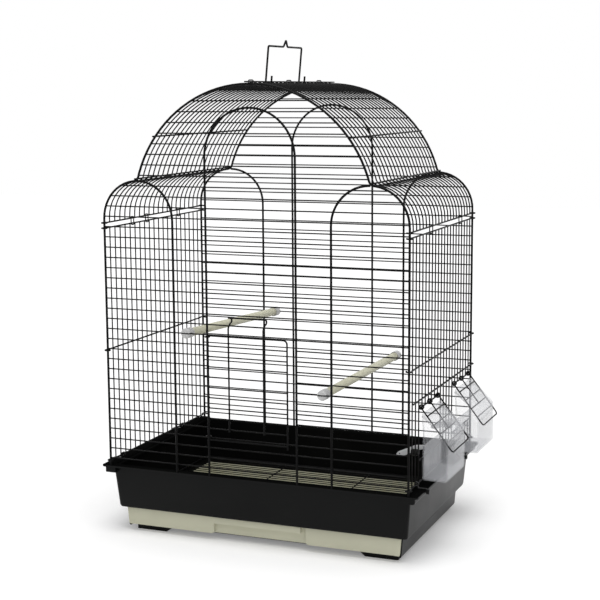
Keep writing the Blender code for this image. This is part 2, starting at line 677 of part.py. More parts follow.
def feeder_cup(name, first):
    """Clear cup whose side walls enclose the flap, open to the bird above its sill."""
    y0, y1, inner, outer, flap_z = cup_sizes(first)
    bottom = ROW_ZERO + CUP_BOTTOM
    sill = ROW_ZERO + CUP_SILL
    rest = flap_z[1] - (FLAP_WIRE_HALF + GAP) / math.cos(math.radians(FLAP_SLOPE))
    shell, hollow, tongue = (bmesh.new() for _ in range(3))
    prism(shell, [(inner, bottom), (outer, bottom), (outer, flap_z[1]), (inner, flap_z[0])], y0, y1)
    pivot = (inner, (y0 + y1) / 2, bottom)
    body = add_object(name, shell, CLEAR, pivot=pivot)
    above = flap_z[0] + CUP_WALL
    prism(hollow, [(inner + CUP_WALL, bottom + CUP_WALL), (outer - CUP_WALL, bottom + CUP_WALL),
                   (outer - CUP_WALL, rest), (outer + CUP_WALL, rest), (outer + CUP_WALL, above),
                   (inner - CUP_WALL, above), (inner - CUP_WALL, sill), (inner + CUP_WALL, sill)],
          y0 + CUP_WALL, y1 - CUP_WALL)
    boolean(body, "DIFFERENCE", hollow)
    tongue_y = y0 + CUP_TONGUE_WIDTH / 2 + GAP
    thick = CUP_TONGUE_THICKNESS
    prism(tongue, [(inner + CUP_WALL / 2, sill - thick), (inner + CUP_WALL / 2, sill - thick / 5),
                   (inner - CUP_TONGUE_LENGTH, sill - CUP_TONGUE_DROP + thick),
                   (inner - CUP_TONGUE_LENGTH, sill - CUP_TONGUE_DROP)],
          tongue_y - CUP_TONGUE_WIDTH / 2, tongue_y + CUP_TONGUE_WIDTH / 2)
    boolean(body, "UNION", tongue)


def cup_button(name, first):
    """Round button pushed onto the wire beside a feeder opening, next to the cup's tongue."""
    y = side_y(first)
    z = ROW_ZERO + CUP_BUTTON_HEIGHT
    half = THIN_HALF + GAP
    body, slot = bmesh.new(), bmesh.new()
    drum(body, (HALF_WIDTH - CUP_BUTTON_LENGTH, y, z), (HALF_WIDTH + THIN_HALF, y, z), CUP_BUTTON_RADIUS)
    made = add_object(name, body, BASE_BLACK, pivot=(HALF_WIDTH, y, z))
    block(slot, (HALF_WIDTH - half, y - half, z - 2 * CUP_BUTTON_RADIUS),
          (HALF_WIDTH + 2 * half, y + half, z + 2 * CUP_BUTTON_RADIUS))
    boolean(made, "DIFFERENCE", slot)


def perch(name, front_x, front_row, back_x, back_row):
    """Dowel across the cage, with a cap at each end that grips a horizontal wire."""
    ends = (Vector((front_x, -ROW_Y, row_z(front_row))), Vector((back_x, ROW_Y, row_z(back_row))))
    along = (ends[1] - ends[0]).normalized()
    cap_radius = PERCH_RADIUS + PERCH_CAP_GAP + PERCH_CAP_WALL
    seat = THIN_HALF + GAP + PERCH_CAP_WALL
    for which, seat_point, inward in (("front", ends[0], along), ("back", ends[1], -along)):
        body, bore, slot = (bmesh.new() for _ in range(3))
        drum(body, seat_point - inward * PERCH_CAP_NOSE, seat_point + inward * PERCH_CAP_DEPTH,
             cap_radius, 16)
        cap = add_object(f"perch_{name}_{which}_cap", body, MILKY, pivot=tuple(seat_point))
        drum(bore, seat_point + inward * seat, seat_point + inward * 2 * PERCH_CAP_DEPTH,
             PERCH_RADIUS + PERCH_CAP_GAP, 16)
        boolean(cap, "DIFFERENCE", bore)
        reach = THIN_HALF + GAP
        outward = -1 if inward.y > 0 else 1
        ys = sorted((seat_point.y - outward * reach, seat_point.y + outward * 2 * PERCH_CAP_NOSE))
        block(slot, (seat_point.x - 2 * cap_radius, ys[0], seat_point.z - reach),
              (seat_point.x + 2 * cap_radius, ys[1], seat_point.z + reach))
        boolean(cap, "DIFFERENCE", slot)
    dowel = bmesh.new()
    start, end = ends[0] + along * (seat + GAP), ends[1] - along * (seat + GAP)
    drum(dowel, start, end, PERCH_RADIUS, 16)
    add_object(f"perch_{name}", dowel, CREAM, pivot=tuple((start + end) / 2))


def handle():
    """Bail with a pointed middle, hooked under the two ridge bars."""
    room = RIDGE_BAR_SPACING / 2 + RIDGE_BAR_HALF + 2 * GAP
    radius = room * HANDLE_HOOK_ROOM + HANDLE_WIRE_HALF
    pivot = (0.0, HANDLE_FRONT_Y + HANDLE_WIDTH / 2, RIDGE_BAR_Z)
    hook = [(x, z) for x, z in arc((0.0, 0.0), radius, 0, -180, 6)]
    half = HANDLE_WIDTH / 2
    top = HANDLE_HEIGHT
    front = [(radius, -half, 2 * radius)] + [(x, -half, z) for x, z in hook]
    notch = HANDLE_NOTCH * HANDLE_PEAK
    path = front + [(-radius, -half, top - HANDLE_CORNER), (-radius, HANDLE_CORNER - half, top),
                    (-radius, -1.6 * notch, top), (-radius, -notch, top + 0.15 * HANDLE_PEAK),
                    (-radius, 0.0, top + HANDLE_PEAK)]
    path += [(x, -y, z) for x, y, z in reversed(path[:-1])]
    shells = bmesh.new()
    lean = Matrix.Rotation(math.radians(HANDLE_LEAN), 4, "Y")
    tube(shells, [tuple(lean @ Vector(p) + Vector(pivot)) for p in path], HANDLE_WIRE_HALF, (0, 1, 0))
    add_object("handle", shells, POWDER_BLACK, pivot=pivot)


def ring_clips():
    """Wire clips: the roof halves to the sides, and the two ridge bars to each other."""
    for side_name, hand, gaps in (("left", -1, LEFT_CLIP_GAPS), ("right", 1, RIGHT_CLIP_GAPS)):
        for number, index in enumerate(gaps, 1):
            low = Vector((hand * outline_at(SIDE_TOP_Z)[0], gap_y(index), SIDE_TOP_Z))
            high = Vector((hand * outline_at(ROOF_BAR_Z)[0], gap_y(index), ROOF_BAR_Z))
            along = (high - low).normalized()
            wide = BAR_HALF * (abs(along.x) + abs(along.z)) + GAP + RING_HALF
            along, across = along * wide, Vector((along.z, 0.0, -along.x)) * wide
            loop = [low + across - along, high + across + along, high - across + along,
                    low - across - along]
            shells = bmesh.new()
            tube(shells, loop, RING_HALF, (0, 1, 0), closed=True)
            add_object(f"roof_clip_{side_name}_{number}", shells, POWDER_BLACK, pivot=tuple(low))
    reach_x = RIDGE_BAR_SPACING / 2 + RIDGE_BAR_HALF + GAP + RING_HALF
    reach_z = RIDGE_BAR_HALF + GAP + RING_HALF
    for number, index in enumerate(RIDGE_CLIP_GAPS, 1):
        shells = bmesh.new()
        y = gap_y(index)
        loop = [(a * reach_x, y, RIDGE_BAR_Z + b * reach_z) for a, b in ((1, -1), (1, 1), (-1, 1), (-1, -1))]
        tube(shells, loop, RING_HALF, (0, 1, 0), closed=True)
        add_object(f"ridge_clip_{number}", shells, POWDER_BLACK, pivot=(0.0, y, RIDGE_BAR_Z))


def tray_sections():
    """Half sizes of the outside of the tray's wall, at its top and at its bottom."""
    top_x = HALF_WIDTH - TRAY_TOP_INSET_X
    top_y = RIM_HALF_Y - TRAY_TOP_INSET_Y
    return top_x, top_y, top_x - TRAY_DRAFT_X, top_y - TRAY_DRAFT_Y


def base_tray():
    """Tray with a flanged rim, a ledge for the grate and an open-fronted drawer housing below."""
    top_x, top_y, low_x, low_y = tray_sections()
    under = RIM_Z - RIM_THICKNESS
    wall = TRAY_WALL
    ledge_x, ledge_y = low_x - wall - LEDGE_WIDTH, low_y - wall - LEDGE_WIDTH
    profile = [(RIM_HALF_X, RIM_HALF_Y, RIM_Z), (RIM_HALF_X, RIM_HALF_Y, under), (top_x, top_y, under),
               (low_x, low_y, HOUSING_TOP), (ledge_x, ledge_y, HOUSING_TOP),
               (ledge_x, ledge_y, HOUSING_TOP + wall), (low_x - wall, low_y - wall, HOUSING_TOP + wall),
               (top_x - wall, top_y - wall, RIM_Z)]
    shells = bmesh.new()
    rings = []
    for x, y, z in profile:
        rings.append([shells.verts.new(p) for p in ((-x, -y, z), (x, -y, z), (x, y, z), (-x, y, z))])
    skin(shells, rings, closed=True)
    tray = add_object("base_tray", shells, BASE_BLACK)
    rim_steps(tray, top_x, top_y, under)
    housing = bmesh.new()
    out_x, front, back = housing_sizes()
    frustum(housing, (HOUSING_DRAFT - out_x, out_x - HOUSING_DRAFT, front, back - HOUSING_DRAFT, FOOT_HEIGHT),
            (-out_x, out_x, front, back, HOUSING_TOP + wall / 2))
    boolean(tray, "UNION", housing)
    room = bmesh.new()
    in_x = out_x - HOUSING_WALL - HOUSING_DRAFT
    block(room, (-in_x, front - HOUSING_WALL, FOOT_HEIGHT + HOUSING_WALL),
          (in_x, back - 2 * HOUSING_WALL, RIM_Z))
    boolean(tray, "DIFFERENCE", room)


def rim_steps(tray, top_x, top_y, under):
    """Deep step below the rim along each side, open below and closed at its ends."""
    out_x = HALF_WIDTH + RIM_STEP_OUT
    low = under - RIM_STEP_HEIGHT
    inside = RIM_THICKNESS / 2
    lips, ends = bmesh.new(), bmesh.new()
    for hand in (-1, 1):
        xs = sorted((hand * (out_x - RIM_STEP_WALL), hand * out_x))
        block(lips, (xs[0], -top_y, low), (xs[1], top_y, under + inside))
        xs = sorted((hand * (top_x - TRAY_WALL / 2), hand * (out_x - RIM_STEP_WALL / 2)))
        for side in (-1, 1):
            ys = sorted((side * top_y, side * (top_y - RIM_STEP_WALL)))
            block(ends, (xs[0], ys[0], low), (xs[1], ys[1], under + inside))
    boolean(tray, "UNION", lips)
    boolean(tray, "UNION", ends)


def housing_sizes():
    """Half width, front and back of the drawer housing's top."""
    _, _, low_x, low_y = tray_sections()
    return low_x - HOUSING_INSET_X, HOUSING_INSET_FRONT - low_y, low_y - HOUSING_INSET_BACK


def feet():
    """Four pads under the housing, each with one slanted end."""
    out_x, front, back = housing_sizes()
    x1 = out_x - FOOT_INSET
    x0 = x1 - FOOT_LENGTH
    top = FOOT_HEIGHT - GAP
    for hand, side in ((-1, "left"), (1, "right")):
        for end, y0 in (("front", front + FOOT_INSET), ("back", back - FOOT_INSET - FOOT_WIDTH)):
            shells = bmesh.new()
            outline = [(hand * x0, 0.0), (hand * x1, 0.0), (hand * x1, top), (hand * (x0 - FOOT_TAPER), top)]
            prism(shells, outline, y0, y0 + FOOT_WIDTH)
            add_object(f"foot_{end}_{side}", shells, BASE_BLACK, pivot=(hand * (x0 + x1) / 2, y0, 0.0))


def drawer():
    """Pull-out tray with a wide recessed grip in its front."""
    out_x, front, back = housing_sizes()
    half = out_x - HOUSING_WALL - HOUSING_DRAFT - RUNNING_GAP
    floor = FOOT_HEIGHT + HOUSING_WALL + GAP
    top = HOUSING_TOP - RUNNING_GAP - GAP
    y_back = back - 2 * HOUSING_WALL - 2 * RUNNING_GAP
    y_front = front - DRAWER_FRONT_LIP
    shells = bmesh.new()
    block(shells, (-half, y_front, floor), (half, y_back, top))
    pivot = (0.0, y_front, floor)
    body = add_object("drawer", shells, CREAM, pivot=pivot)
    room = bmesh.new()
    block(room, (DRAWER_WALL - half, y_front + DRAWER_FRONT, floor + DRAWER_WALL),
          (half - DRAWER_WALL, y_back - DRAWER_WALL, top + 0.01))
    boolean(body, "DIFFERENCE", room)
    grip = bmesh.new()
    block(grip, (-GRIP_WIDTH / 2, y_front - 0.01, floor - 0.01),
          (GRIP_WIDTH / 2, y_front + GRIP_DEPTH, floor + GRIP_HEIGHT))
    boolean(body, "DIFFERENCE", grip)


def grate():
    """Wire floor over the drawer. Its two cross bars lie on the tray's ledge."""
    _, _, low_x, low_y = tray_sections()
    bar_z = HOUSING_TOP + TRAY_WALL + GAP + GRATE_BAR_HALF
    wire_z = bar_z + GRATE_BAR_HALF + GAP + GRATE_WIRE_HALF
    z = wire_z
    half_x = low_x - TRAY_WALL - RUNNING_GAP - GRATE_FRAME_HALF
    half_y = low_y - TRAY_WALL - RUNNING_GAP - GRATE_FRAME_HALF
    frame, wires, bars, welds = (bmesh.new() for _ in range(4))
    loop = [(a * half_x, b * half_y, z) for a, b in ((1, -1), (1, 1), (-1, 1), (-1, -1))]
    tube(frame, loop, GRATE_FRAME_HALF, (0, 0, 1), closed=True)
    count = round(2 * half_y / GRATE_PITCH)
    ys = [-half_y + 2 * half_y * i / count for i in range(1, count)]
    for y in ys:
        tube(wires, [(-half_x, y, wire_z), (half_x, y, wire_z)], GRATE_WIRE_HALF, (0, 0, 1))
    for x in (-GRATE_BAR_X, GRATE_BAR_X):
        tube(bars, [(x, -half_y, bar_z), (x, half_y, bar_z)], GRATE_BAR_HALF, (0, 0, 1))
        for y in (ys[0], ys[len(ys) // 2], ys[-1]):
            tube(welds, [(x, y, wire_z), (x, y, bar_z)], WELD_HALF, (1, 0, 0))
    welded("floor_grate", (frame, wires, bars, welds), POWDER_BLACK, pivot=(0.0, 0.0, z))


def base_clips():
    """Clips that turn on the sides' bottom bars and reach over the rim, each with a finger nub."""
    rest = RIM_Z + GAP
    radius = CLIP_BORE_RADIUS + CLIP_BARREL_WALL
    hook_z = RIM_Z - CLIP_HOOK_DROP
    for hand, side in ((-1, "left"), (1, "right")):
        for end, index in zip(("front", "back"), CLIP_GAPS):
            x, y = hand * HALF_WIDTH, gap_y(index)
            y0, y1 = y - CLIP_WIDTH / 2, y + CLIP_WIDTH / 2
            arm, barrel, bore = (bmesh.new() for _ in range(3))
            outline = [(HALF_WIDTH, rest), (CLIP_HOOK_X, rest), (CLIP_HOOK_X, hook_z),
                       (CLIP_REACH, hook_z), (CLIP_REACH, rest), (CLIP_HOOK_X, rest + CLIP_ARM_THICKNESS),
                       (HALF_WIDTH + radius, rest + CLIP_ARM_THICKNESS), (HALF_WIDTH + radius / 2, BOTTOM_BAR_Z),
                       (HALF_WIDTH - radius * 0.9, BOTTOM_BAR_Z - radius / 2)]
            prism(arm, [(hand * px, pz) for px, pz in outline], y0, y1)
            drum(barrel, (x, y0, BOTTOM_BAR_Z), (x, y1, BOTTOM_BAR_Z), radius)
            drum(bore, (x, y0 - CLIP_WIDTH, BOTTOM_BAR_Z), (x, y1 + CLIP_WIDTH, BOTTOM_BAR_Z),
                 CLIP_BORE_RADIUS)
            body = welded(f"base_clip_{end}_{side}", (arm, barrel), BASE_BLACK, pivot=(x, y, BOTTOM_BAR_Z))
            boolean(body, "DIFFERENCE", bore)


def clear_scene():
    """Removes every object and adds the empty that carries the cage."""
    for old in list(bpy.data.objects):
        bpy.data.objects.remove(old, do_unlink=True)
    middle = bpy.data.objects.new("cage_middle", None)
    bpy.context.collection.objects.link(middle)
    middle.location = (CAGE_X, CAGE_Y, 0.0)
    bpy.context.view_layer.update()


def build():
    """Builds every sub-part, from the base upwards."""
    clear_scene()
    base_tray()
    feet()
    drawer()
    grate()
    end_panel("front_panel", -1, opening=True)
    end_panel("back_panel", 1, opening=False)
    side_panel("left_side_panel", -1, feeders=False)
    side_panel("right_side_panel", 1, feeders=True)
    roof_half("roof_left", -1)
    roof_half("roof_right", 1)
    base_clips()
    ring_clips()
    front_door()
    for end, first in zip(("front", "back"), FEEDER_FIRST_WIRES):
        feeder_flap(f"feeder_flap_{end}", first)
        feeder_cup(f"feeder_cup_{end}", first)
        cup_button(f"cup_button_{end}", first)
    for name, places in PERCHES.items():
        perch(name, *places)
    handle()


build()
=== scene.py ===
# %% [markdown]
# # A scallop top bird cage, dressed
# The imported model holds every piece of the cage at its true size, as plain solids. This lesson
# gives them their looks: round welded wires, moulded plastic with rounded edges, clear cups,
# and the light, floor and camera of a plain product picture. Everything is in metres.

# %% Load the model
import math

import bpy
from mathutils import Matrix, Vector


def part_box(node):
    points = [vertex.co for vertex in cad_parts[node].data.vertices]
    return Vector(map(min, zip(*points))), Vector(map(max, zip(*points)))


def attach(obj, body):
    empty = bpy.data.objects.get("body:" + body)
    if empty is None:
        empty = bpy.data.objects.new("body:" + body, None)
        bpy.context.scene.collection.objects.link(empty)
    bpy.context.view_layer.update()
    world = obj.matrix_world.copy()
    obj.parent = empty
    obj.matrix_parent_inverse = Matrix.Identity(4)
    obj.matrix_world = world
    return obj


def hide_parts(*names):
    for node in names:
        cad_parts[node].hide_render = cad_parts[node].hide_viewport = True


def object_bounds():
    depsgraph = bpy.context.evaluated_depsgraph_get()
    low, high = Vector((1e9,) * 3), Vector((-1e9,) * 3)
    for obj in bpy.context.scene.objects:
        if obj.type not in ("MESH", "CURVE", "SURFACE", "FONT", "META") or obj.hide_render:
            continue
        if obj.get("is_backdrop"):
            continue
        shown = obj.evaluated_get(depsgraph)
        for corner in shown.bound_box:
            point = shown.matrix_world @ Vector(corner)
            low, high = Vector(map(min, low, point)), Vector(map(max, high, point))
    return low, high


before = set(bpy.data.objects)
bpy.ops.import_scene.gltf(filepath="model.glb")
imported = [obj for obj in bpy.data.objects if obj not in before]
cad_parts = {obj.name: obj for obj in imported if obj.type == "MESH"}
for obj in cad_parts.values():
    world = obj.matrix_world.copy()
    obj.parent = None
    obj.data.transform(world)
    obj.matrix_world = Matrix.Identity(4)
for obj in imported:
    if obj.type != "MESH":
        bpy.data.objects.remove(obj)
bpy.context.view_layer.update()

# %% [markdown]
# ## Where the cage stands
# The row's origin lies under the middle of the whole object, cups included, so the cage's own
# middle is a little to one side of it. The tray is even about that middle, and its box gives it.
# All the sizes below count from there. They repeat the ones that the solids were made from,
# apart from some heights and widths of the base and the thin wires' gauge, which were measured
# again later.

# %% Sizes of the wire cage
tray_low, tray_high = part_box("base_tray")
MIDDLE = Vector(((tray_low.x + tray_high.x) / 2, (tray_low.y + tray_high.y) / 2, 0))

HALF_WIDTH = 0.247
HALF_DEPTH = 0.1705
RIM_Z = 0.1113
ROW_ZERO = 0.1235
PITCH = 0.016
SIDE_GAPS = 21
SIDE_STEP = 2 * HALF_DEPTH / SIDE_GAPS
SPRING_Z = 0.5035
LOBE_RADIUS = 0.0593
LOBE_X = HALF_WIDTH - LOBE_RADIUS
LOBE_TOP_Z = SPRING_Z + LOBE_RADIUS
DOME_RISE = 0.1452
DOME_RADIUS = (LOBE_X ** 2 + DOME_RISE ** 2) / (2 * DOME_RISE)
DOME_Z = LOBE_TOP_Z + DOME_RISE - DOME_RADIUS
DOME_FOOT = math.asin((LOBE_TOP_Z - DOME_Z) / DOME_RADIUS)
ARCH_RADIUS = 0.0728
ARCH_Z = 0.6005
ROW_Y = 0.1697
LEG_Y = 0.17255

POST_R = 0.0018
LEG_R = 0.0017
BAR_R = 0.0013
THIN_R = 0.00108
DOOR_R = 0.0013
FLAP_R = 0.0011
RING_R = 0.0009
HANDLE_R = 0.0015


def at(x, y, z):
    """A point counted from the cage's own middle."""
    return MIDDLE + Vector((x, y, z))


def row_z(index):
    return ROW_ZERO + index * PITCH


def side_y(index):
    return -HALF_DEPTH + index * SIDE_STEP


print("cage middle, mm:", [round(1000 * v, 2) for v in MIDDLE])

# %% [markdown]
# ## Bending a wire
# A real cage starts as straight steel wire that is cut, bent and welded. The same is done here:
# a single vertex is extruded along the wire's middle, spun round a centre where the wire takes a
# curve, and bevelled where it takes a tight bend. The line then becomes a curve with a round
# section, and that becomes a mesh. A spin keeps a bend truly round, which typed points wouldn't.

# %% Short names for steps that come again and again
def enter_edit():
    bpy.ops.object.mode_set(mode="EDIT")


def leave_edit():
    bpy.ops.object.mode_set(mode="OBJECT")


def deselect_pieces():
    bpy.ops.object.select_all(action="DESELECT")


def select_whole():
    bpy.ops.mesh.select_all(action="SELECT")


def select_nothing():
    bpy.ops.mesh.select_all(action="DESELECT")


def settle():
    """Puts a piece's place, turn and scale into its mesh."""
    bpy.ops.object.transform_apply(location=True, rotation=True, scale=True)


def call_it(piece, name):
    piece.name = piece.data.name = name
    return piece


def pick_only(piece):
    """Selects one piece and makes it the active one."""
    deselect_pieces()
    piece.select_set(True)
    bpy.context.view_layer.objects.active = piece


# %% Helpers that draw one wire


def begin_wire(point):
    """One vertex at the wire's first end, in edit mode."""
    deselect_pieces()
    bpy.ops.mesh.primitive_plane_add(size=0.001, location=point)
    enter_edit()
    bpy.ops.mesh.select_mode(type="VERT")
    bpy.ops.mesh.merge(type="CENTER")


def extrude(*move):
    """Draws the wire on by a straight run, or pushes selected faces out."""
    bpy.ops.mesh.extrude_region_move(TRANSFORM_OT_translate={"value": move})


def through(points):
    """Draws the wire on through a list of places, from the first one."""
    for here, there in zip(points, points[1:]):
        extrude(*(Vector(there) - Vector(here)))


def curl(degrees, centre, axis=(0, 1, 0), steps=16):
    """Draws the wire on round a centre."""
    bpy.ops.mesh.spin(steps=steps, angle=math.radians(degrees), center=centre, axis=axis)


def close_loop():
    """Joins the wire's two ends."""
    leave_edit()
    mesh = bpy.context.object.data
    uses = [0] * len(mesh.vertices)
    for edge in mesh.edges:
        for end in edge.vertices:
            uses[end] += 1
    for vertex in mesh.vertices:
        vertex.select = uses[vertex.index] == 1
    enter_edit()
    bpy.ops.mesh.edge_face_add()


def round_bends(radius, sharper_than=25, steps=5):
    """Rounds every sharp bend of the wire in hand."""
    select_nothing()
    leave_edit()
    mesh = bpy.context.object.data
    arms = {vertex.index: [] for vertex in mesh.vertices}
    for edge in mesh.edges:
        a, b = edge.vertices
        arms[a].append(mesh.vertices[b].co - mesh.vertices[a].co)
        arms[b].append(mesh.vertices[a].co - mesh.vertices[b].co)
    for vertex in mesh.vertices:
        runs = arms[vertex.index]
        vertex.select = len(runs) == 2 and math.degrees(runs[0].angle(-runs[1])) > sharper_than
    enter_edit()
    bpy.ops.mesh.bevel(affect="VERTICES", offset_type="OFFSET", offset=radius, segments=steps)


def end_wire(name, radius, sides=12):
    """Gives the drawn line its round section."""
    leave_edit()
    settle()
    bpy.ops.object.convert(target="CURVE")
    line = bpy.context.object.data
    line.bevel_depth = radius
    line.bevel_resolution = sides // 2 - 2
    line.use_fill_caps = True
    bpy.ops.object.convert(target="MESH")
    return call_it(bpy.context.object, name)


# %% Helpers for straight wires and for repeats


def cylinder(name, start, end, radius, sides):
    """A round bar between two points."""
    start, end = Vector(start), Vector(end)
    run = end - start
    deselect_pieces()
    bpy.ops.mesh.primitive_cylinder_add(vertices=sides, radius=radius, depth=run.length,
                                        location=(start + end) / 2,
                                        rotation=run.to_track_quat("Z", "Y").to_euler())
    return call_it(bpy.context.object, name)


def rod(name, start, end, radius, sides=8):
    """A straight cut wire. Its end faces are bevelled, as a cropped end is under its coating."""
    made = cylinder(name, start, end, radius, sides)
    tall = (Vector(end) - Vector(start)).length
    for face in made.data.polygons:
        face.select = abs(face.normal.z) > 0.9
    for edge in made.data.edges:
        edge.select = abs(sum(made.data.vertices[i].co.z for i in edge.vertices)) > tall * 0.9
    enter_edit()
    bpy.ops.mesh.select_mode(type="EDGE")
    bpy.ops.mesh.bevel(offset=radius * 0.3, segments=1)
    bpy.ops.mesh.select_mode(type="VERT")
    leave_edit()
    settle()
    return made


def apply_all(piece):
    """Applies every modifier of a piece."""
    pick_only(piece)
    for step in list(piece.modifiers):
        bpy.ops.object.modifier_apply(modifier=step.name)


def repeat(piece, count, step):
    """Repeats a wire at even steps, as the jig of the welding machine does."""
    row = piece.modifiers.new("repeat", "ARRAY")
    row.count = count
    row.use_relative_offset = False
    row.use_constant_offset = True
    row.constant_offset_displace = step
    apply_all(piece)
    return piece


def copy_of(piece, name):
    """A copy with its own mesh."""
    made = piece.copy()
    made.data = piece.data.copy()
    bpy.context.collection.objects.link(made)
    return call_it(made, name)


def in_one(name, pieces):
    """Joins wires that are welded together into one piece."""
    deselect_pieces()
    for piece in pieces:
        piece.select_set(True)
    bpy.context.view_layer.objects.active = pieces[0]
    bpy.ops.object.join()
    return call_it(bpy.context.object, name)


def smooth(piece, degrees=40):
    """Smooth shading that leaves the sharp edges sharp."""
    pick_only(piece)
    bpy.ops.object.shade_smooth_by_angle(angle=math.radians(degrees))
    return piece


def nugget(place, across, along):
    """A weld: the small swelling where two wires have melted into each other."""
    deselect_pieces()
    bpy.ops.mesh.primitive_uv_sphere_add(segments=8, ring_count=5, radius=1, location=place)
    enter_edit()
    bpy.ops.transform.resize(value=(across, along, across), center_override=place)
    leave_edit()
    settle()
    return bpy.context.object


# %% [markdown]
# ## The finishes
# The wires are steel under black powder coat: satin, with a very fine orange peel. The base is
# black plastic: satin outside, and stippled matt inside and on its rim. The drawer and perches
# are cream, the cups clear and the perch caps milky. Each material is a small net of nodes on
# Object coordinates, so a pattern keeps its true size on every piece.

# %% Helpers for materials
def new_material(name, colour, roughness, specular=0.5):
    """A Principled material, with its node tree, shader and Object coordinates."""
    made = bpy.data.materials.new(name)
    made.use_nodes = True
    nodes = made.node_tree.nodes
    shader = nodes["Principled BSDF"]
    shader.inputs["Base Color"].default_value = (*colour, 1)
    shader.inputs["Roughness"].default_value = roughness
    shader.inputs["Specular IOR Level"].default_value = specular
    made.diffuse_color = (*colour, 1)
    place = nodes.new("ShaderNodeTexCoord").outputs["Object"]
    return made, shader, place


def noise(tree, place, scale, detail=2):
    """A noise pattern of a true size, in cycles a metre."""
    pattern = tree.nodes.new("ShaderNodeTexNoise")
    pattern.inputs["Scale"].default_value = scale
    pattern.inputs["Detail"].default_value = detail
    tree.links.new(place, pattern.inputs["Vector"])
    return pattern.outputs["Fac"]


def spread(tree, factor, low, high, target, span=(0.3, 0.7)):
    """Drives a value of the shader between two limits by a pattern."""
    limits = tree.nodes.new("ShaderNodeMapRange")
    limits.inputs["From Min"].default_value, limits.inputs["From Max"].default_value = span
    limits.inputs["To Min"].default_value = low
    limits.inputs["To Max"].default_value = high
    tree.links.new(factor, limits.inputs["Value"])
    tree.links.new(limits.outputs["Result"], target)


def tint(tree, factor, dark, light, target):
    """Drives a colour between two shades by a pattern."""
    ramp = tree.nodes.new("ShaderNodeValToRGB")
    for stop, position, shade in zip(ramp.color_ramp.elements, (0.3, 0.7), (dark, light)):
        stop.position = position
        stop.color = (*shade, 1)
    tree.links.new(factor, ramp.inputs["Fac"])
    tree.links.new(ramp.outputs["Color"], target)


def relief(tree, factor, height, shader, strength=0.4):
    """Raises the surface by a pattern."""
    bump = tree.nodes.new("ShaderNodeBump")
    bump.inputs["Strength"].default_value = strength
    bump.inputs["Distance"].default_value = height
    tree.links.new(factor, bump.inputs["Height"])
    tree.links.new(bump.outputs["Normal"], shader.inputs["Normal"])


# %% The coated steel


def powder_coat():
    """Black powder coat: cells of about a millimetre and a half, and a slight change of gloss."""
    made, shader, place = new_material("black_powder_coat", (0.0035, 0.0035, 0.0037), 0.42, 0.07)
    tree = made.node_tree
    tint(tree, noise(tree, place, 30, 3), (0.0025, 0.0025, 0.0027), (0.0048, 0.0048, 0.0048),
         shader.inputs["Base Color"])
    spread(tree, noise(tree, place, 60, 2), 0.34, 0.50, shader.inputs["Roughness"])
    relief(tree, noise(tree, place, 700, 2), 0.00004, shader)
    return made


POWDER_COAT = powder_coat()

# %% The plastics


def moulded(name, dark, light, roughness, specular, grain=1400, depth=0.00002, sheen_size=9):
    """Moulded plastic: broad faint clouding of the colour, satin grain from the mould."""
    made, shader, place = new_material(name, light, sum(roughness) / 2, specular)
    tree = made.node_tree
    tint(tree, noise(tree, place, sheen_size, 4), dark, light, shader.inputs["Base Color"])
    spread(tree, noise(tree, place, 18, 2), *roughness, shader.inputs["Roughness"])
    relief(tree, noise(tree, place, grain, 2), depth, shader)
    return made


BLACK_PLASTIC = moulded("black_moulded_plastic", (0.0028, 0.0030, 0.0030), (0.0042, 0.0045, 0.0044),
                        (0.31, 0.35), 0.10)
MATT_PLASTIC = moulded("black_stippled_plastic", (0.0030, 0.0030, 0.0030), (0.0050, 0.0052, 0.0050),
                       (0.85, 0.95), 0.0, grain=900, depth=0.00008)
CREAM_PLASTIC = moulded("cream_drawer_plastic", (0.520, 0.515, 0.390), (0.565, 0.560, 0.430),
                        (0.40, 0.52), 0.35, sheen_size=14)
PERCH_PLASTIC = moulded("cream_perch_plastic", (0.600, 0.590, 0.445), (0.660, 0.650, 0.500),
                        (0.42, 0.55), 0.35, sheen_size=40)


def see_through(name, colour, roughness, faint, dense):
    """Clear or milky plastic. It lets the view through, and grows denser towards its outline,
    where the eye looks along the wall and not through it."""
    made, shader, place = new_material(name, colour, roughness, 0.5)
    tree = made.node_tree
    spread(tree, noise(tree, place, 50, 3), roughness * 0.7, roughness * 1.3,
           shader.inputs["Roughness"])
    relief(tree, noise(tree, place, 120, 2), 0.0001, shader, 0.15)
    edge = tree.nodes.new("ShaderNodeLayerWeight")
    edge.inputs["Blend"].default_value = 0.35
    spread(tree, edge.outputs["Facing"], faint, dense, shader.inputs["Alpha"], (0, 1))
    return made


CLEAR_PLASTIC = see_through("clear_cup_plastic", (0.62, 0.63, 0.66), 0.14, 0.10, 0.50)
TONGUE_PLASTIC = see_through("thick_clear_plastic", (0.66, 0.67, 0.68), 0.16, 0.62, 0.80)
MILKY_PLASTIC = see_through("milky_cap_plastic", (0.66, 0.66, 0.66), 0.30, 0.62, 0.92)
print("materials:", [m.name for m in bpy.data.materials])


def dress(piece, material, slot, body, *nodes):
    """Gives a finished piece its finish, its moving body and the nodes that it stands for."""
    piece.data.materials.clear()
    piece.data.materials.append(material)
    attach(piece, body)
    if nodes:
        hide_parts(*nodes)
    print(piece.name, len(piece.data.polygons), "faces")
    return piece


def finish_wires(name, wires, body, node):
    """Joins the wires of one piece, smooths them and gives them the powder coat."""
    return dress(smooth(in_one(name, wires)), POWDER_COAT, "black_wire", body, node)


# %% [markdown]
# ## The front and back frames
# Each frame is an outline of thick wire: a corner post bends over into a half-round lobe, turns
# up into the dome and comes down the same way on the other side. A second wire makes each lobe's
# inner half and the leg below it, and a third the tall arch in the middle. Thin rows are welded
# across them, sixteen millimetres apart. At the front the rows are cut away for the door.

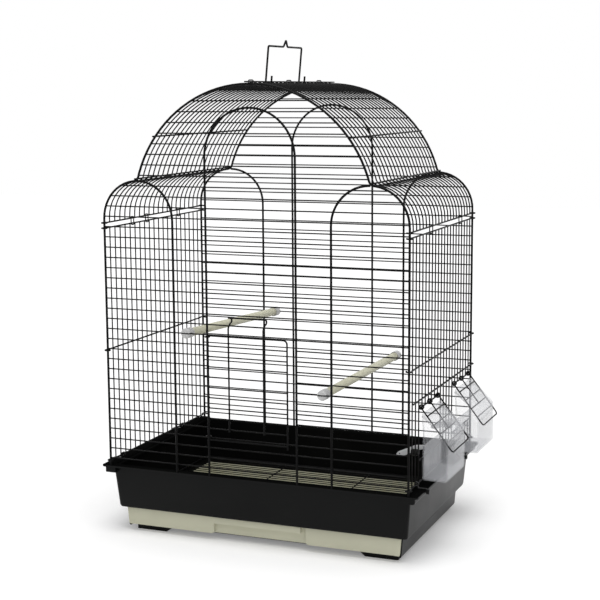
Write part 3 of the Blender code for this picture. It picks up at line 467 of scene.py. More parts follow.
# %% The thick wires of a frame
FOOT_Z = RIM_Z + 0.0003
VALLEY_FILLET = 0.0065
DOOR_BOTTOM_ROW, DOOR_TOP_ROW = 3, 13
TOP_ROW = 36
ROW_WELD, POST_WELD = (0.0012, 0.0016), (0.0012, 0.0013)


def outline_wire(side):
    """Post, outer lobe, dome, outer lobe and post in one bent wire."""
    y = side * HALF_DEPTH
    foot = math.degrees(DOME_FOOT)
    begin_wire(at(HALF_WIDTH, y, FOOT_Z))
    extrude(0, 0, SPRING_Z - FOOT_Z)
    curl(90, at(LOBE_X, y, SPRING_Z), (0, 1, 0), 12)
    curl(180 - 2 * foot, at(0, y, DOME_Z), (0, 1, 0), 40)
    curl(90, at(-LOBE_X, y, SPRING_Z), (0, 1, 0), 12)
    extrude(0, 0, FOOT_Z - SPRING_Z)
    round_bends(VALLEY_FILLET)
    return end_wire("outline_wire", POST_R)


def lobe_leg(side, hand):
    """Inner half of a lobe and its leg. The curve is spun round a slightly turned axis, so that it
    leaves the outline's plane and the leg passes in front of the rows."""
    turn = side * hand * (LEG_Y - HALF_DEPTH) / LOBE_RADIUS
    begin_wire(at(hand * LOBE_X, side * HALF_DEPTH, LOBE_TOP_Z))
    curl(90 * hand, at(hand * LOBE_X, side * HALF_DEPTH, SPRING_Z), (turn, 1, 0), 12)
    extrude(0, 0, FOOT_Z - SPRING_Z)
    return end_wire("lobe_leg", POST_R)


def centre_arch(side):
    """The tall arch in the middle of a frame."""
    y = side * LEG_Y
    begin_wire(at(ARCH_RADIUS, y, FOOT_Z))
    extrude(0, 0, ARCH_Z - FOOT_Z)
    curl(180, at(0, y, ARCH_Z), (0, 1, 0), 32)
    extrude(0, 0, FOOT_Z - ARCH_Z)
    return end_wire("centre_arch", LEG_R)


# %% The thin rows of a frame


def reach(z):
    """Half the length of a row at one height, out to the outline wire."""
    if z <= SPRING_Z:
        return HALF_WIDTH
    if z < LOBE_TOP_Z:
        return LOBE_X + math.sqrt(LOBE_RADIUS ** 2 - (z - SPRING_Z) ** 2)
    return math.sqrt(DOME_RADIUS ** 2 - (z - DOME_Z) ** 2)


def frame_rows(side, door):
    """The rows: even ones are one wire repeated upwards, and those above follow the outline."""
    y = side * ROW_Y
    even = 1 + math.floor((SPRING_Z - ROW_ZERO) / PITCH)
    lift = (0, 0, PITCH)
    full = rod("row", at(-HALF_WIDTH, y, ROW_ZERO), at(HALF_WIDTH, y, ROW_ZERO), THIN_R)
    parts = []
    for index in range(even, TOP_ROW + 1):
        half = reach(row_z(index))
        parts.append(rod("row", at(-half, y, row_z(index)), at(half, y, row_z(index)), THIN_R))
    if not door:
        return parts + [repeat(full, even, lift)]
    upper = copy_of(full, "upper_rows")
    upper.data.transform(Matrix.Translation((0, 0, DOOR_TOP_ROW * PITCH)))
    parts += [repeat(full, DOOR_BOTTOM_ROW + 1, lift), repeat(upper, even - DOOR_TOP_ROW, lift)]
    for hand in (-1, 1):
        z = row_z(DOOR_BOTTOM_ROW + 1)
        short = rod("short_row", at(hand * (ARCH_RADIUS - 0.0012), y, z), at(hand * HALF_WIDTH, y, z),
                    THIN_R)
        parts.append(repeat(short, DOOR_TOP_ROW - DOOR_BOTTOM_ROW - 1, lift))
    return parts


def frame_welds(side):
    """Welds where each row crosses a leg or the arch, up to where that one bends away."""
    y = side * (ROW_Y + LEG_Y) / 2
    parts = []
    inner = HALF_WIDTH - 2 * LOBE_RADIUS
    for hand in (-1, 1):
        for x, top in ((inner, SPRING_Z), (ARCH_RADIUS, ARCH_Z)):
            weld = nugget(at(hand * x, y, ROW_ZERO), *ROW_WELD)
            parts.append(repeat(weld, 1 + math.floor((top - ROW_ZERO) / PITCH), (0, 0, PITCH)))
        post = nugget(at(hand * HALF_WIDTH, side * (HALF_DEPTH - 0.0006), ROW_ZERO), *POST_WELD)
        parts.append(repeat(post, 1 + math.floor((SPRING_Z - ROW_ZERO) / PITCH), (0, 0, PITCH)))
    return parts


for which, side in (("front", -1), ("back", 1)):
    wires = [outline_wire(side), lobe_leg(side, -1), lobe_leg(side, 1), centre_arch(side)]
    wires += frame_rows(side, door=side < 0) + frame_welds(side)
    finish_wires(f"{which}_frame_wires", wires, "cage_and_base", f"{which}_panel")

# %% [markdown]
# ## The side panels
# A side is a curtain of thin upright wires between cross bars. Each bar's ends are bent round
# the corner posts, which is how the real panel hangs on the frames. The right side leaves two
# openings for the feeder cups, each with a head bar that its flap hangs on and a sill.

# %% Hooked bars
POST_RING = 0.0041
SIDE_TOP_Z, SIDE_MID_Z, ROOF_BAR_Z, BOTTOM_BAR_Z = 0.4888, 0.2968, 0.4970, 0.1195
GUARD_Z, FEEDER_TOP_Z, FEEDER_SILL_Z = 0.2455, 0.2315, 0.15285
BAR_PROUD, BAR_BEND = 0.00235, 0.0015
BAR_OUT = HALF_WIDTH + POST_RING
JOG_Y, NEAR_Y = HALF_DEPTH - 1.6 * POST_RING, HALF_DEPTH - 0.5 * POST_RING
BAR_WELD, PROUD_WELD_X = (0.0013, 0.0011), HALF_WIDTH + 0.0012
CUP_WIRES = (3, 14)
CUP_SPAN = 7


def hooked_bar(hand, z, proud=0.0):
    """A bar from front to back with both ends curled round the corner posts."""
    lie = HALF_WIDTH + proud
    begin_wire(at(hand * (HALF_WIDTH - POST_RING), -HALF_DEPTH, z))
    curl(-180 * hand, at(hand * HALF_WIDTH, -HALF_DEPTH, z), (0, 0, 1), 10)
    through([(hand * x, y, z) for x, y in (
        (BAR_OUT, -HALF_DEPTH), (BAR_OUT, -NEAR_Y), (lie, -JOG_Y),
        (lie, JOG_Y), (BAR_OUT, NEAR_Y), (BAR_OUT, HALF_DEPTH))])
    curl(-180 * hand, at(hand * HALF_WIDTH, HALF_DEPTH, z), (0, 0, 1), 10)
    round_bends(BAR_BEND, sharper_than=22, steps=3)
    return end_wire("hooked_bar", BAR_R)


def guard_bar():
    """The bar over the feeders. It starts at the first upright and curls round the back post."""
    lie, near = HALF_WIDTH + BAR_PROUD, side_y(1) - 0.0015
    begin_wire(at(lie, near, GUARD_Z))
    through([(lie, near, 0), (lie, JOG_Y, 0), (BAR_OUT, NEAR_Y, 0), (BAR_OUT, HALF_DEPTH, 0)])
    curl(-180, at(HALF_WIDTH, HALF_DEPTH, GUARD_Z), (0, 0, 1), 10)
    round_bends(BAR_BEND, sharper_than=22, steps=3)
    return end_wire("guard_bar", BAR_R)


def upright_wires(hand, first, last, low, high):
    """A run of upright wires, one drawn and the rest repeated."""
    x, y = hand * HALF_WIDTH, side_y(first)
    wire = rod("upright", at(x, y, low), at(x, y, high), THIN_R)
    return repeat(wire, last - first + 1, (0, SIDE_STEP, 0))


def bar_welds(hand, z, x, first=1, last=SIDE_GAPS - 1):
    """Welds of one bar to the upright wires."""
    weld = nugget(at(hand * x, side_y(first), z), *BAR_WELD)
    return repeat(weld, last - first + 1, (0, SIDE_STEP, 0))


# %% The two sides


def cup_opening(first):
    """Near and far end of the bars round one cup's opening. The back one stops at the post."""
    far = side_y(first + CUP_SPAN)
    return side_y(first), min(far, HALF_DEPTH - POST_R - 0.0003)


TOP_END, LOW_END = SIDE_TOP_Z + 0.0008, BOTTOM_BAR_Z - 0.0012
for which, hand in (("left", -1), ("right", 1)):
    wires = [hooked_bar(hand, SIDE_TOP_Z), hooked_bar(hand, BOTTOM_BAR_Z),
             hooked_bar(hand, SIDE_MID_Z, BAR_PROUD)]
    wires += [bar_welds(hand, SIDE_TOP_Z, HALF_WIDTH), bar_welds(hand, BOTTOM_BAR_Z, HALF_WIDTH),
              bar_welds(hand, SIDE_MID_Z, PROUD_WELD_X)]
    if hand < 0:
        wires.append(upright_wires(hand, 1, SIDE_GAPS - 1, LOW_END, TOP_END))
    else:
        wires += [guard_bar(), bar_welds(hand, GUARD_Z, PROUD_WELD_X)]
        for first, last in ((1, CUP_WIRES[0]), (CUP_WIRES[0] + CUP_SPAN, CUP_WIRES[1])):
            wires.append(upright_wires(hand, first, last, LOW_END, TOP_END))
        for first in CUP_WIRES:
            last = min(first + CUP_SPAN, SIDE_GAPS) - 1
            wires.append(upright_wires(hand, first + 1, last, LOW_END, FEEDER_SILL_Z))
            wires.append(upright_wires(hand, first + 1, last, FEEDER_TOP_Z, TOP_END))
            near, far = cup_opening(first)
            for z in (FEEDER_SILL_Z, FEEDER_TOP_Z):
                wires.append(rod("opening_bar", at(HALF_WIDTH, near, z), at(HALF_WIDTH, far, z),
                                 BAR_R, 12))
                wires.append(bar_welds(hand, z, HALF_WIDTH, first, last))
    finish_wires(f"{which}_side_wires", wires, "cage_and_base", f"{which}_side_panel")

# %% [markdown]
# ## The roof
# Twenty thin wires a side run from a hooked bar over the lobe, through the valley and up the dome
# to the ridge. One is drawn and the rest are repeated. Three bars from front to back tie them:
# in the valley, part way up the dome and at the ridge.

# %% Roof wires and bars
RIDGE_BAR_Z, RIDGE_BAR_X, RIDGE_BAR_R = 0.7111, 0.0013, 0.0011
DOME_BAR_ANGLE, ROOF_WIRE_ANGLE = 36.3, 88.5
BAR_LIFT, RIDGE_PAST = 0.0027, 0.009
ROOF_END = HALF_DEPTH + 0.0024
VALLEY_BAR = (LOBE_X + 0.0035, LOBE_TOP_Z + 0.0030)
WELD_R, WELD_SINK = 0.0009, 0.0011


def roof_wire(hand):
    """One thin wire from the side up to the ridge."""
    y = side_y(1)
    foot = math.degrees(DOME_FOOT)
    begin_wire(at(hand * HALF_WIDTH, y, ROOF_BAR_Z - 0.0008))
    extrude(0, 0, SPRING_Z - ROOF_BAR_Z + 0.0008)
    curl(90 * hand, at(hand * LOBE_X, y, SPRING_Z), (0, 1, 0), 10)
    curl((ROOF_WIRE_ANGLE - foot) * hand, at(0, y, DOME_Z), (0, 1, 0), 20)
    top = math.radians(ROOF_WIRE_ANGLE)
    end = (hand * DOME_RADIUS * math.cos(top), 0, DOME_Z + DOME_RADIUS * math.sin(top))
    through([end, (hand * RIDGE_BAR_X, 0, RIDGE_BAR_Z)])
    round_bends(VALLEY_FILLET)
    return end_wire("roof_wire", THIN_R, 8)


def long_bar(x, z, radius, past=0.0):
    """A straight bar along the roof."""
    return rod("roof_bar", at(x, -ROOF_END - past, z), at(x, ROOF_END + past, z), radius, 12)


for which, hand in (("left", -1), ("right", 1)):
    angle = math.radians(DOME_BAR_ANGLE)
    out = DOME_RADIUS + BAR_LIFT
    dome = (hand * out * math.cos(angle), DOME_Z + out * math.sin(angle))
    valley = (hand * VALLEY_BAR[0], VALLEY_BAR[1])
    wires = [repeat(roof_wire(hand), SIDE_GAPS - 1, (0, SIDE_STEP, 0)), hooked_bar(hand, ROOF_BAR_Z),
             long_bar(hand * RIDGE_BAR_X, RIDGE_BAR_Z, RIDGE_BAR_R, RIDGE_PAST), long_bar(*dome, BAR_R),
             long_bar(*valley, BAR_R), bar_welds(hand, ROOF_BAR_Z, HALF_WIDTH)]
    for x, z in (dome, valley):
        sink = WELD_SINK * Vector((abs(x), z - DOME_Z)).normalized()
        weld = nugget(at(x - hand * sink.x, side_y(1), z - sink.y), WELD_R, WELD_R)
        wires.append(repeat(weld, SIDE_GAPS - 1, (0, SIDE_STEP, 0)))
    finish_wires(f"{which}_roof_wires", wires, "cage_and_base", f"roof_{which}")

# %% [markdown]
# ## The ring clips
# Bent wire rings hold the two roof halves to the sides, and the two ridge bars to each other.
# A real ring is a rounded rectangle of wire, bent until its ends meet. Here it is drawn as one
# closed loop, and its place and size are read from the solid that it stands for.

# %% Roof and ridge clips


def rounded_loop(start, moves, corner, steps):
    """A closed wire whose corners are all bent to one radius."""
    begin_wire(start)
    for move in moves:
        extrude(*move)
    close_loop()
    select_whole()
    bpy.ops.mesh.bevel(affect="VERTICES", offset=corner, segments=steps)


def ring_clip(name, centre, half_x, half_z):
    """A rounded rectangular loop of wire round two bars."""
    moves = ((0, 0, 2 * half_z), (-2 * half_x, 0, 0), (0, 0, -2 * half_z))
    rounded_loop(centre + Vector((half_x, 0, -half_z)), moves, min(half_x, half_z) * 0.6, 4)
    return smooth(end_wire(name, RING_R))


ring_nodes = sorted(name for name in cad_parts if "_clip_" in name and not name.startswith("base"))
for name in ring_nodes:
    low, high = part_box(name)
    half = (high - low) / 2
    loop = ring_clip(f"{name}_ring", (low + high) / 2, half.x - RING_R, half.z - RING_R)
    dress(loop, POWDER_COAT, "black_wire", "cage_and_base", name)

# %% [markdown]
# ## The front door
# The door turns on the arch's left leg. Its outline is one wire bent into an upside-down L, its
# two inner uprights carry on upwards and join in a sprung U. The U dips inwards between two rows
# of the frame, and that is all the latch there is: pressed down and pulled, it comes free.

# %% Door wires
DOOR_Y, DOOR_ROW_Y, DOOR_WELD_Y, LATCH_Y, LATCH_IN_Y = 0.17615, 0.1758, 0.17700, 0.17825, 0.1651
DOOR_LEFT, DOOR_RIGHT = 0.0028 - ARCH_RADIUS, ARCH_RADIUS - 0.0131
DOOR_INNER = (0.0379 - ARCH_RADIUS, 0.0951 - ARCH_RADIUS)
DOOR_TOP, DOOR_BOTTOM = row_z(DOOR_TOP_ROW), row_z(DOOR_BOTTOM_ROW) - 0.0017
DOOR_TAIL, DOOR_BEND, LATCH_BEND = 0.0052, 0.006, 0.0022
HINGE_LOOP_R, HINGE_WIRE_R, HINGE_STEP = 0.00345, 0.0011, 0.00256
DOOR_WELD = (0.0012, 0.0011)


def door_outline():
    """The upside-down L of the top and the right side."""
    tail = DOOR_BOTTOM - DOOR_TAIL
    begin_wire(at(DOOR_RIGHT, -DOOR_Y, tail))
    through([(DOOR_RIGHT, 0, tail), (DOOR_RIGHT, 0, DOOR_TOP), (DOOR_LEFT, 0, DOOR_TOP)])
    round_bends(DOOR_BEND)
    return end_wire("door_outline", DOOR_R)


def door_latch():
    """The inner uprights and the U that joins them above the door."""
    low, high = row_z(DOOR_TOP_ROW + 1), row_z(DOOR_TOP_ROW + 2)
    lead = 0.0024
    foot = row_z(DOOR_BOTTOM_ROW + 1) - DOOR_TAIL / 2
    side = [(-LATCH_Y, foot), (-LATCH_Y, low - lead), (-ROW_Y - lead, low + 1.5 * lead),
            (-LATCH_IN_Y, low + 2.3 * lead), (-LATCH_IN_Y, high - 2.3 * lead), (-LATCH_Y, high - lead)]
    left, right = DOOR_INNER
    places = [(left, y, z) for y, z in side] + [(right, y, z) for y, z in reversed(side)]
    begin_wire(at(*places[0]))
    through(places)
    round_bends(LATCH_BEND, sharper_than=15, steps=4)
    return end_wire("door_latch", DOOR_R)


def hinge_ring(z):
    """An end of door wire curled once round the arch's leg."""
    deselect_pieces()
    bpy.ops.mesh.primitive_torus_add(location=at(-ARCH_RADIUS, -LEG_Y, z),
                                     major_radius=HINGE_LOOP_R, minor_radius=HINGE_WIRE_R,
                                     major_segments=20, minor_segments=8)
    settle()
    return bpy.context.object


wires = [door_outline(), door_latch()]
wires.append(rod("door_upright", at(DOOR_LEFT, -DOOR_Y, DOOR_BOTTOM - DOOR_TAIL / 2),
                 at(DOOR_LEFT, -DOOR_Y, DOOR_TOP + DOOR_TAIL / 2), DOOR_R * 0.96, 12))
wires.append(rod("door_foot", at(DOOR_LEFT, -DOOR_Y, DOOR_BOTTOM), at(DOOR_RIGHT, -DOOR_Y, DOOR_BOTTOM),
                 DOOR_R * 0.92, 12))
first = row_z(DOOR_BOTTOM_ROW + 1)
rows = DOOR_TOP_ROW - DOOR_BOTTOM_ROW - 1
row = rod("door_row", at(DOOR_LEFT, -DOOR_ROW_Y, first), at(DOOR_RIGHT, -DOOR_ROW_Y, first), THIN_R)
wires.append(repeat(row, rows, (0, 0, PITCH)))
for x in DOOR_INNER:
    wires.append(repeat(nugget(at(x, -DOOR_WELD_Y, first), *DOOR_WELD), rows, (0, 0, PITCH)))
for z in (DOOR_TOP - HINGE_STEP, row_z(DOOR_BOTTOM_ROW) + HINGE_STEP):
    wires.append(hinge_ring(z))
finish_wires("door_wires", wires, "door", "front_door")

# %% [markdown]
# ## The plastic base
# One moulding holds everything up. Its tray has sloping walls, a flat rim that the wire cage
# stands on and a ledge for the grate. Below it hangs a housing that is open in front for the
# drawer. The tray is drawn as a rounded rectangle that is extruded and resized from section to
# section, as a mould is cut, so its walls keep their draft and its corners their radius. Two more
# sections round its lower edge. The rim's top and the inside have a matt stipple, so they get a
# second material, chosen by where a face lies and which way it looks.

# %% Sizes of the base
FOOT_TOP, HOUSING_TOP = 0.0085, 0.0395
RIM_X, RIM_Y, RIM_THICK, RIM_CORNER, WALL = 0.262, 0.1748, 0.0025, 0.006, 0.0028
TRAY_TOP, TRAY_LOW, LEDGE = (0.2474, 0.1635), (0.2412, 0.1575), 0.009
HOUSE_X, HOUSE_FRONT, HOUSE_BACK, HOUSE_WALL, HOUSE_DRAFT = 0.232, -0.1475, 0.1515, 0.003, 0.003
HOUSE_CORNER, HOUSE_EDGE, FLOOR_SETBACK = 0.008, 0.002, 0.011
STEP_X, STEP_Y, STEP_IN = 0.257, 0.1722, 0.2385
STEP_DROP, STEP_WALL, STEP_BEND = 0.009, 0.0025, 0.003
print("rim, mm:", round(2000 * RIM_X, 1), "x", round(2000 * RIM_Y, 1), "at", round(1000 * RIM_Z, 1))

# %% Helpers that shape a moulding


def select_faces(piece, test):
    """Selects the faces of a piece whose middle and direction pass a test, then edits it."""
    enter_edit()
    bpy.ops.mesh.select_mode(type="FACE")
    select_nothing()
    leave_edit()
    for face in piece.data.polygons:
        face.select = test(face.center, face.normal)
    enter_edit()


def select_edges(piece, test):
    """Selects the edges of a piece whose two ends pass a test, then edits it."""
    enter_edit()
    bpy.ops.mesh.select_mode(type="EDGE")
    select_nothing()
    leave_edit()
    for edge in piece.data.edges:
        edge.select = test(*(piece.data.vertices[i].co for i in edge.vertices))
    enter_edit()


def side_reach(hand, a, b):
    """How far out on one side the nearer end of an edge lies."""
    return min(hand * (a.x - MIDDLE.x), hand * (b.x - MIDDLE.x))


def box_piece(name, one, other):
    """A block between two opposite corners, as the start of a moulding."""
    low = Vector([min(pair) for pair in zip(one, other)])
    high = Vector([max(pair) for pair in zip(one, other)])
    deselect_pieces()
    bpy.ops.mesh.primitive_cube_add(size=1, location=(low + high) / 2)
    piece = call_it(bpy.context.object, name)
    piece.scale = high - low
    settle()
    return piece


def soften(piece, width=0.0008, steps=2, angle=30):
    """Rounds all the sharp edges of a moulding by the same small radius."""
    bevel = piece.modifiers.new("soft_edges", "BEVEL")
    bevel.width = width
    bevel.segments = steps
    bevel.limit_method = "ANGLE"
    bevel.angle_limit = math.radians(angle)
    apply_all(piece)
    return piece


def combine(piece, tool, how="UNION"):
    """Adds or cuts away a shape by an exact Boolean, and takes the tool out of the scene."""
    step = piece.modifiers.new("combine", "BOOLEAN")
    step.operation = how
    step.solver = "EXACT"
    step.object = tool
    apply_all(piece)
    bpy.data.objects.remove(tool)
    return piece


def thicken(piece, wall):
    """Gives an open shell its wall, inwards."""
    enter_edit()
    select_whole()
    bpy.ops.mesh.normals_make_consistent(inside=False)
    leave_edit()
    step = piece.modifiers.new("wall", "SOLIDIFY")
    step.thickness = wall
    step.offset = -1
    step.use_even_offset = True
    apply_all(piece)
    return piece


# %% The tray
deselect_pieces()
bpy.ops.mesh.primitive_plane_add(size=1, location=at(0, 0, RIM_Z))
tray = bpy.context.object
enter_edit()
bpy.ops.transform.resize(value=(2 * RIM_X, 2 * RIM_Y, 1), center_override=at(0, 0, RIM_Z))
bpy.ops.mesh.bevel(affect="VERTICES", offset=RIM_CORNER, segments=5)
select_whole()
size = (RIM_X, RIM_Y)
sections = [(RIM_X, RIM_Y, RIM_Z - RIM_THICK), (*TRAY_TOP, RIM_Z - RIM_THICK)]
for out, up in ((0.0004, 0.0040), (-0.0008, 0.0012), (-0.0036, 0), (-WALL - LEDGE, 0),
                (-WALL - LEDGE, WALL), (-WALL, WALL)):
    sections.append((TRAY_LOW[0] + out, TRAY_LOW[1] + out, HOUSING_TOP + up))
sections.append((TRAY_TOP[0] - WALL, TRAY_TOP[1] - WALL, RIM_Z))
level = RIM_Z
for x, y, z in sections:
    extrude(0, 0, z - level)
    bpy.ops.transform.resize(value=(x / size[0], y / size[1], 1), center_override=at(0, 0, z))
    size, level = (x, y), z
leave_edit()
settle()
select_faces(tray, lambda middle, normal: (middle - at(0, 0, RIM_Z)).length < 0.01)
bpy.ops.mesh.bridge_edge_loops()
select_whole()
bpy.ops.mesh.normals_make_consistent(inside=False)
leave_edit()
print("tray", len(tray.data.polygons), "faces")

# %% The deep steps under the rim's sides
for hand in (-1, 1):
    low, high = RIM_Z - RIM_THICK - STEP_DROP, RIM_Z - RIM_THICK / 2
    step = box_piece("rim_step", at(hand * STEP_IN, -STEP_Y, low), at(hand * STEP_X, STEP_Y, high))
    select_edges(step, lambda a, b: side_reach(hand, a, b) > STEP_X - 0.001
                 and min(a.z, b.z) < low + 0.001)
    bpy.ops.mesh.bevel(offset=STEP_BEND, segments=4)
    select_faces(step, lambda middle, normal: normal.z < -0.9 or hand * normal.x < -0.9)
    bpy.ops.mesh.delete(type="FACE")
    leave_edit()
    combine(tray, thicken(step, STEP_WALL))
    for side in (-1, 1):
        near, far = side * (TRAY_TOP[1] - WALL / 2), side * (STEP_Y - STEP_WALL / 2)
        combine(tray, box_piece("step_end", at(hand * STEP_IN, near, low),
                                at(hand * (STEP_IN + STEP_WALL), far, high)))
print("with its steps", len(tray.data.polygons), "faces")

# %% The drawer's housing
housing = box_piece("housing", at(-HOUSE_X, HOUSE_FRONT, FOOT_TOP),
                    at(HOUSE_X, HOUSE_BACK, HOUSING_TOP + WALL / 2))
select_faces(housing, lambda middle, normal: normal.z < -0.9)
bpy.ops.transform.resize(value=(1 - HOUSE_DRAFT / HOUSE_X, 1, 1), center_override=at(0, 0, FOOT_TOP))
select_edges(housing, lambda a, b: abs(a.z - b.z) > 0.01
             and (a + b).y / 2 > MIDDLE.y + HOUSE_BACK - 0.001)
bpy.ops.mesh.bevel(offset=HOUSE_CORNER, segments=5)
select_edges(housing, lambda a, b: max(a.z, b.z) < FOOT_TOP + 0.001
             and (a + b).y / 2 > MIDDLE.y + HOUSE_FRONT + 0.001)
bpy.ops.mesh.bevel(offset=HOUSE_EDGE, segments=3)
select_faces(housing, lambda middle, normal: normal.z > 0.9 or normal.y < -0.9)
bpy.ops.mesh.delete(type="FACE")
leave_edit()
combine(tray, thicken(housing, HOUSE_WALL))
inside_x = HOUSE_X - HOUSE_WALL - HOUSE_DRAFT
room = box_piece("room", at(-inside_x, HOUSE_FRONT - HOUSE_WALL, FOOT_TOP + HOUSE_WALL),
                 at(inside_x, HOUSE_BACK - 2 * HOUSE_WALL, RIM_Z))
combine(tray, room, "DIFFERENCE")
mouth = box_piece("mouth", at(-inside_x, HOUSE_FRONT - HOUSE_WALL, FOOT_TOP - HOUSE_WALL),
                  at(inside_x, HOUSE_FRONT + FLOOR_SETBACK, FOOT_TOP + 2 * HOUSE_WALL))
combine(tray, mouth, "DIFFERENCE")
smooth(soften(call_it(tray, "moulded_base"), 0.0008, 2))
dress(tray, BLACK_PLASTIC, "black_plastic", "cage_and_base", "base_tray")


# %% The stipple
def is_stippled(place, normal):
    """The rim's top, and the walls and ledge inside the tray."""
    if normal.z > 0.5 and place.z > RIM_Z - 0.002:
        return True
    out = place - MIDDLE
    within = abs(out.x) < TRAY_TOP[0] and abs(out.y) < TRAY_TOP[1] and out.z > HOUSING_TOP + 0.001
    return within and (out.to_2d().dot(normal.to_2d()) < -0.01 or normal.z > 0.5)


def second_finish(piece, material, test):
    """Gives the faces that pass a test another finish."""
    piece.data.materials.append(material)
    for face in piece.data.polygons:
        face.material_index = 1 if test(face.center, face.normal) else 0
    print(material.name, "on", sum(face.material_index for face in piece.data.polygons), "faces")


second_finish(tray, MATT_PLASTIC, is_stippled)

# %% The feet
FOOT_X, FOOT_LENGTH, FOOT_WIDTH, FOOT_SLANT, FOOT_INSET = 0.221, 0.053, 0.030, 0.010, 0.011
FOOT_GAP, FOOT_CORNER = 0.0003, 0.003
FOOT_PLACES = (("front", HOUSE_FRONT + FOOT_INSET), ("back", HOUSE_BACK - FOOT_INSET - FOOT_WIDTH))
for which, hand in (("left", -1), ("right", 1)):
    for end, near in FOOT_PLACES:
        inner_x = hand * (FOOT_X - FOOT_LENGTH)
        foot = box_piece(f"{end}_{which}_pad", at(hand * FOOT_X, near, 0),
                         at(inner_x, near + FOOT_WIDTH, FOOT_TOP - FOOT_GAP))
        inner = inner_x + MIDDLE.x
        select_edges(foot, lambda a, b: min(a.z, b.z) > 0.001
                     and abs(a.x - inner) + abs(b.x - inner) < 0.001)
        bpy.ops.transform.translate(value=(-hand * FOOT_SLANT, 0, 0))
        select_edges(foot, lambda a, b: abs(a.z - b.z) > 0.001 and abs(a.x - inner) > 0.02)
        bpy.ops.mesh.bevel(offset=FOOT_CORNER, segments=4)
        leave_edit()
        smooth(soften(foot, 0.0006, 2))
        dress(foot, BLACK_PLASTIC, "black_plastic", "cage_and_base", f"foot_{end}_{which}")

# %% [markdown]
# ## The drawer
# A shallow cream box slides in the housing. Its front has a wide, rounded recess for the fingers
# that runs out at the bottom edge, below a lip that stands a little proud. It starts as a block:
# the top is inset and pushed down to hollow it, the front wall is made thicker, and the recess is
# cut into that. Two small end blocks widen the front, so that it covers the housing's walls.

# %% The drawer
DRAWER_X = HOUSE_X - HOUSE_WALL - HOUSE_DRAFT - 0.0008
DRAWER_LOW, DRAWER_TOP = FOOT_TOP + HOUSE_WALL + 0.0003, HOUSING_TOP - 0.0011
DRAWER_FRONT, DRAWER_BACK = HOUSE_FRONT - 0.003, HOUSE_BACK - 2 * HOUSE_WALL - 0.0016
GRIP_X, GRIP_DEEP, LIP_END, LIP_TALL = 0.0775, 0.007, 0.0685, 0.0102
DRAWER_WALL, FRONT_WALL, DRAWER_CORNER, DRAWER_EDGE = 0.002, 0.0095, 0.0025, 0.004
GRIP_CORNER, LIP_CORNER = 0.0045, 0.002
CHEEK_IN, CHEEK_SHORT, CHEEK_LEAN, CHEEK_CORNER = 0.006, 0.0022, 0.0024, 0.0015

drawer = box_piece("drawer", at(-DRAWER_X, DRAWER_FRONT, DRAWER_LOW),
                   at(DRAWER_X, DRAWER_BACK, DRAWER_TOP))
select_edges(drawer, lambda a, b: abs(a.z - b.z) > 0.01)
bpy.ops.mesh.bevel(offset=DRAWER_CORNER, segments=4)
select_edges(drawer, lambda a, b: max(a.z, b.z) < DRAWER_LOW + 0.001 and abs(a.y - b.y) > 0.1)
bpy.ops.mesh.bevel(offset=DRAWER_EDGE, segments=5)
select_faces(drawer, lambda middle, normal: normal.z > 0.9)
bpy.ops.mesh.inset(thickness=DRAWER_WALL)
extrude(0, 0, DRAWER_LOW + DRAWER_WALL - DRAWER_TOP)
leave_edit()
select_faces(drawer, lambda middle, normal: normal.y > 0.9 and middle.y < MIDDLE.y - 0.1)
bpy.ops.transform.translate(value=(0, FRONT_WALL - DRAWER_WALL, 0))
leave_edit()
recess = box_piece("recess", at(-GRIP_X, DRAWER_FRONT - 0.01, DRAWER_LOW - 0.01),
                   at(GRIP_X, DRAWER_FRONT + GRIP_DEEP, DRAWER_TOP + 0.01))
combine(drawer, recess, "DIFFERENCE")
select_edges(drawer, lambda a, b: max(a.z, b.z) < DRAWER_LOW + 0.0005 and abs(a.y - b.y) > 0.004
             and all(abs(abs(end.x - MIDDLE.x) - GRIP_X) < 0.0005 for end in (a, b)))
bpy.ops.mesh.bevel(offset=GRIP_CORNER, segments=6)
leave_edit()
lip = box_piece("lip", at(-GRIP_X - 0.001, DRAWER_FRONT - 0.0006, DRAWER_TOP - LIP_TALL),
                at(LIP_END, DRAWER_FRONT + GRIP_DEEP + 0.001, DRAWER_TOP - 0.0002))
select_edges(lip, lambda a, b: abs(a.y - b.y) > 0.001 and max(a.z, b.z) < DRAWER_TOP - 0.005)
bpy.ops.mesh.bevel(offset=LIP_CORNER, segments=4)
leave_edit()
combine(drawer, lip)
for hand in (-1, 1):
    cheek = box_piece("cheek",
                      at(hand * (DRAWER_X - CHEEK_IN), DRAWER_FRONT - 0.0002, DRAWER_LOW - 0.0002),
                      at(hand * (HOUSE_X - CHEEK_SHORT), HOUSE_FRONT - 0.0004, DRAWER_TOP - 0.0003))
    select_edges(cheek, lambda a, b: max(a.z, b.z) < DRAWER_LOW + 0.001
                 and side_reach(hand, a, b) > DRAWER_X - 0.001)
    bpy.ops.transform.translate(value=(-hand * CHEEK_LEAN, 0, 0))
    bpy.ops.mesh.bevel(offset=CHEEK_CORNER, segments=4)
    leave_edit()
    combine(drawer, cheek)
smooth(soften(drawer, 0.0006, 2))
dress(drawer, CREAM_PLASTIC, "cream_plastic", "drawer", "drawer")

# %% [markdown]
# ## The floor grate
# A frame of thicker wire with rounded corners, thin wires ten millimetres apart and two cross
# bars below them that rest on the tray's ledge. Droppings fall through it into the drawer.

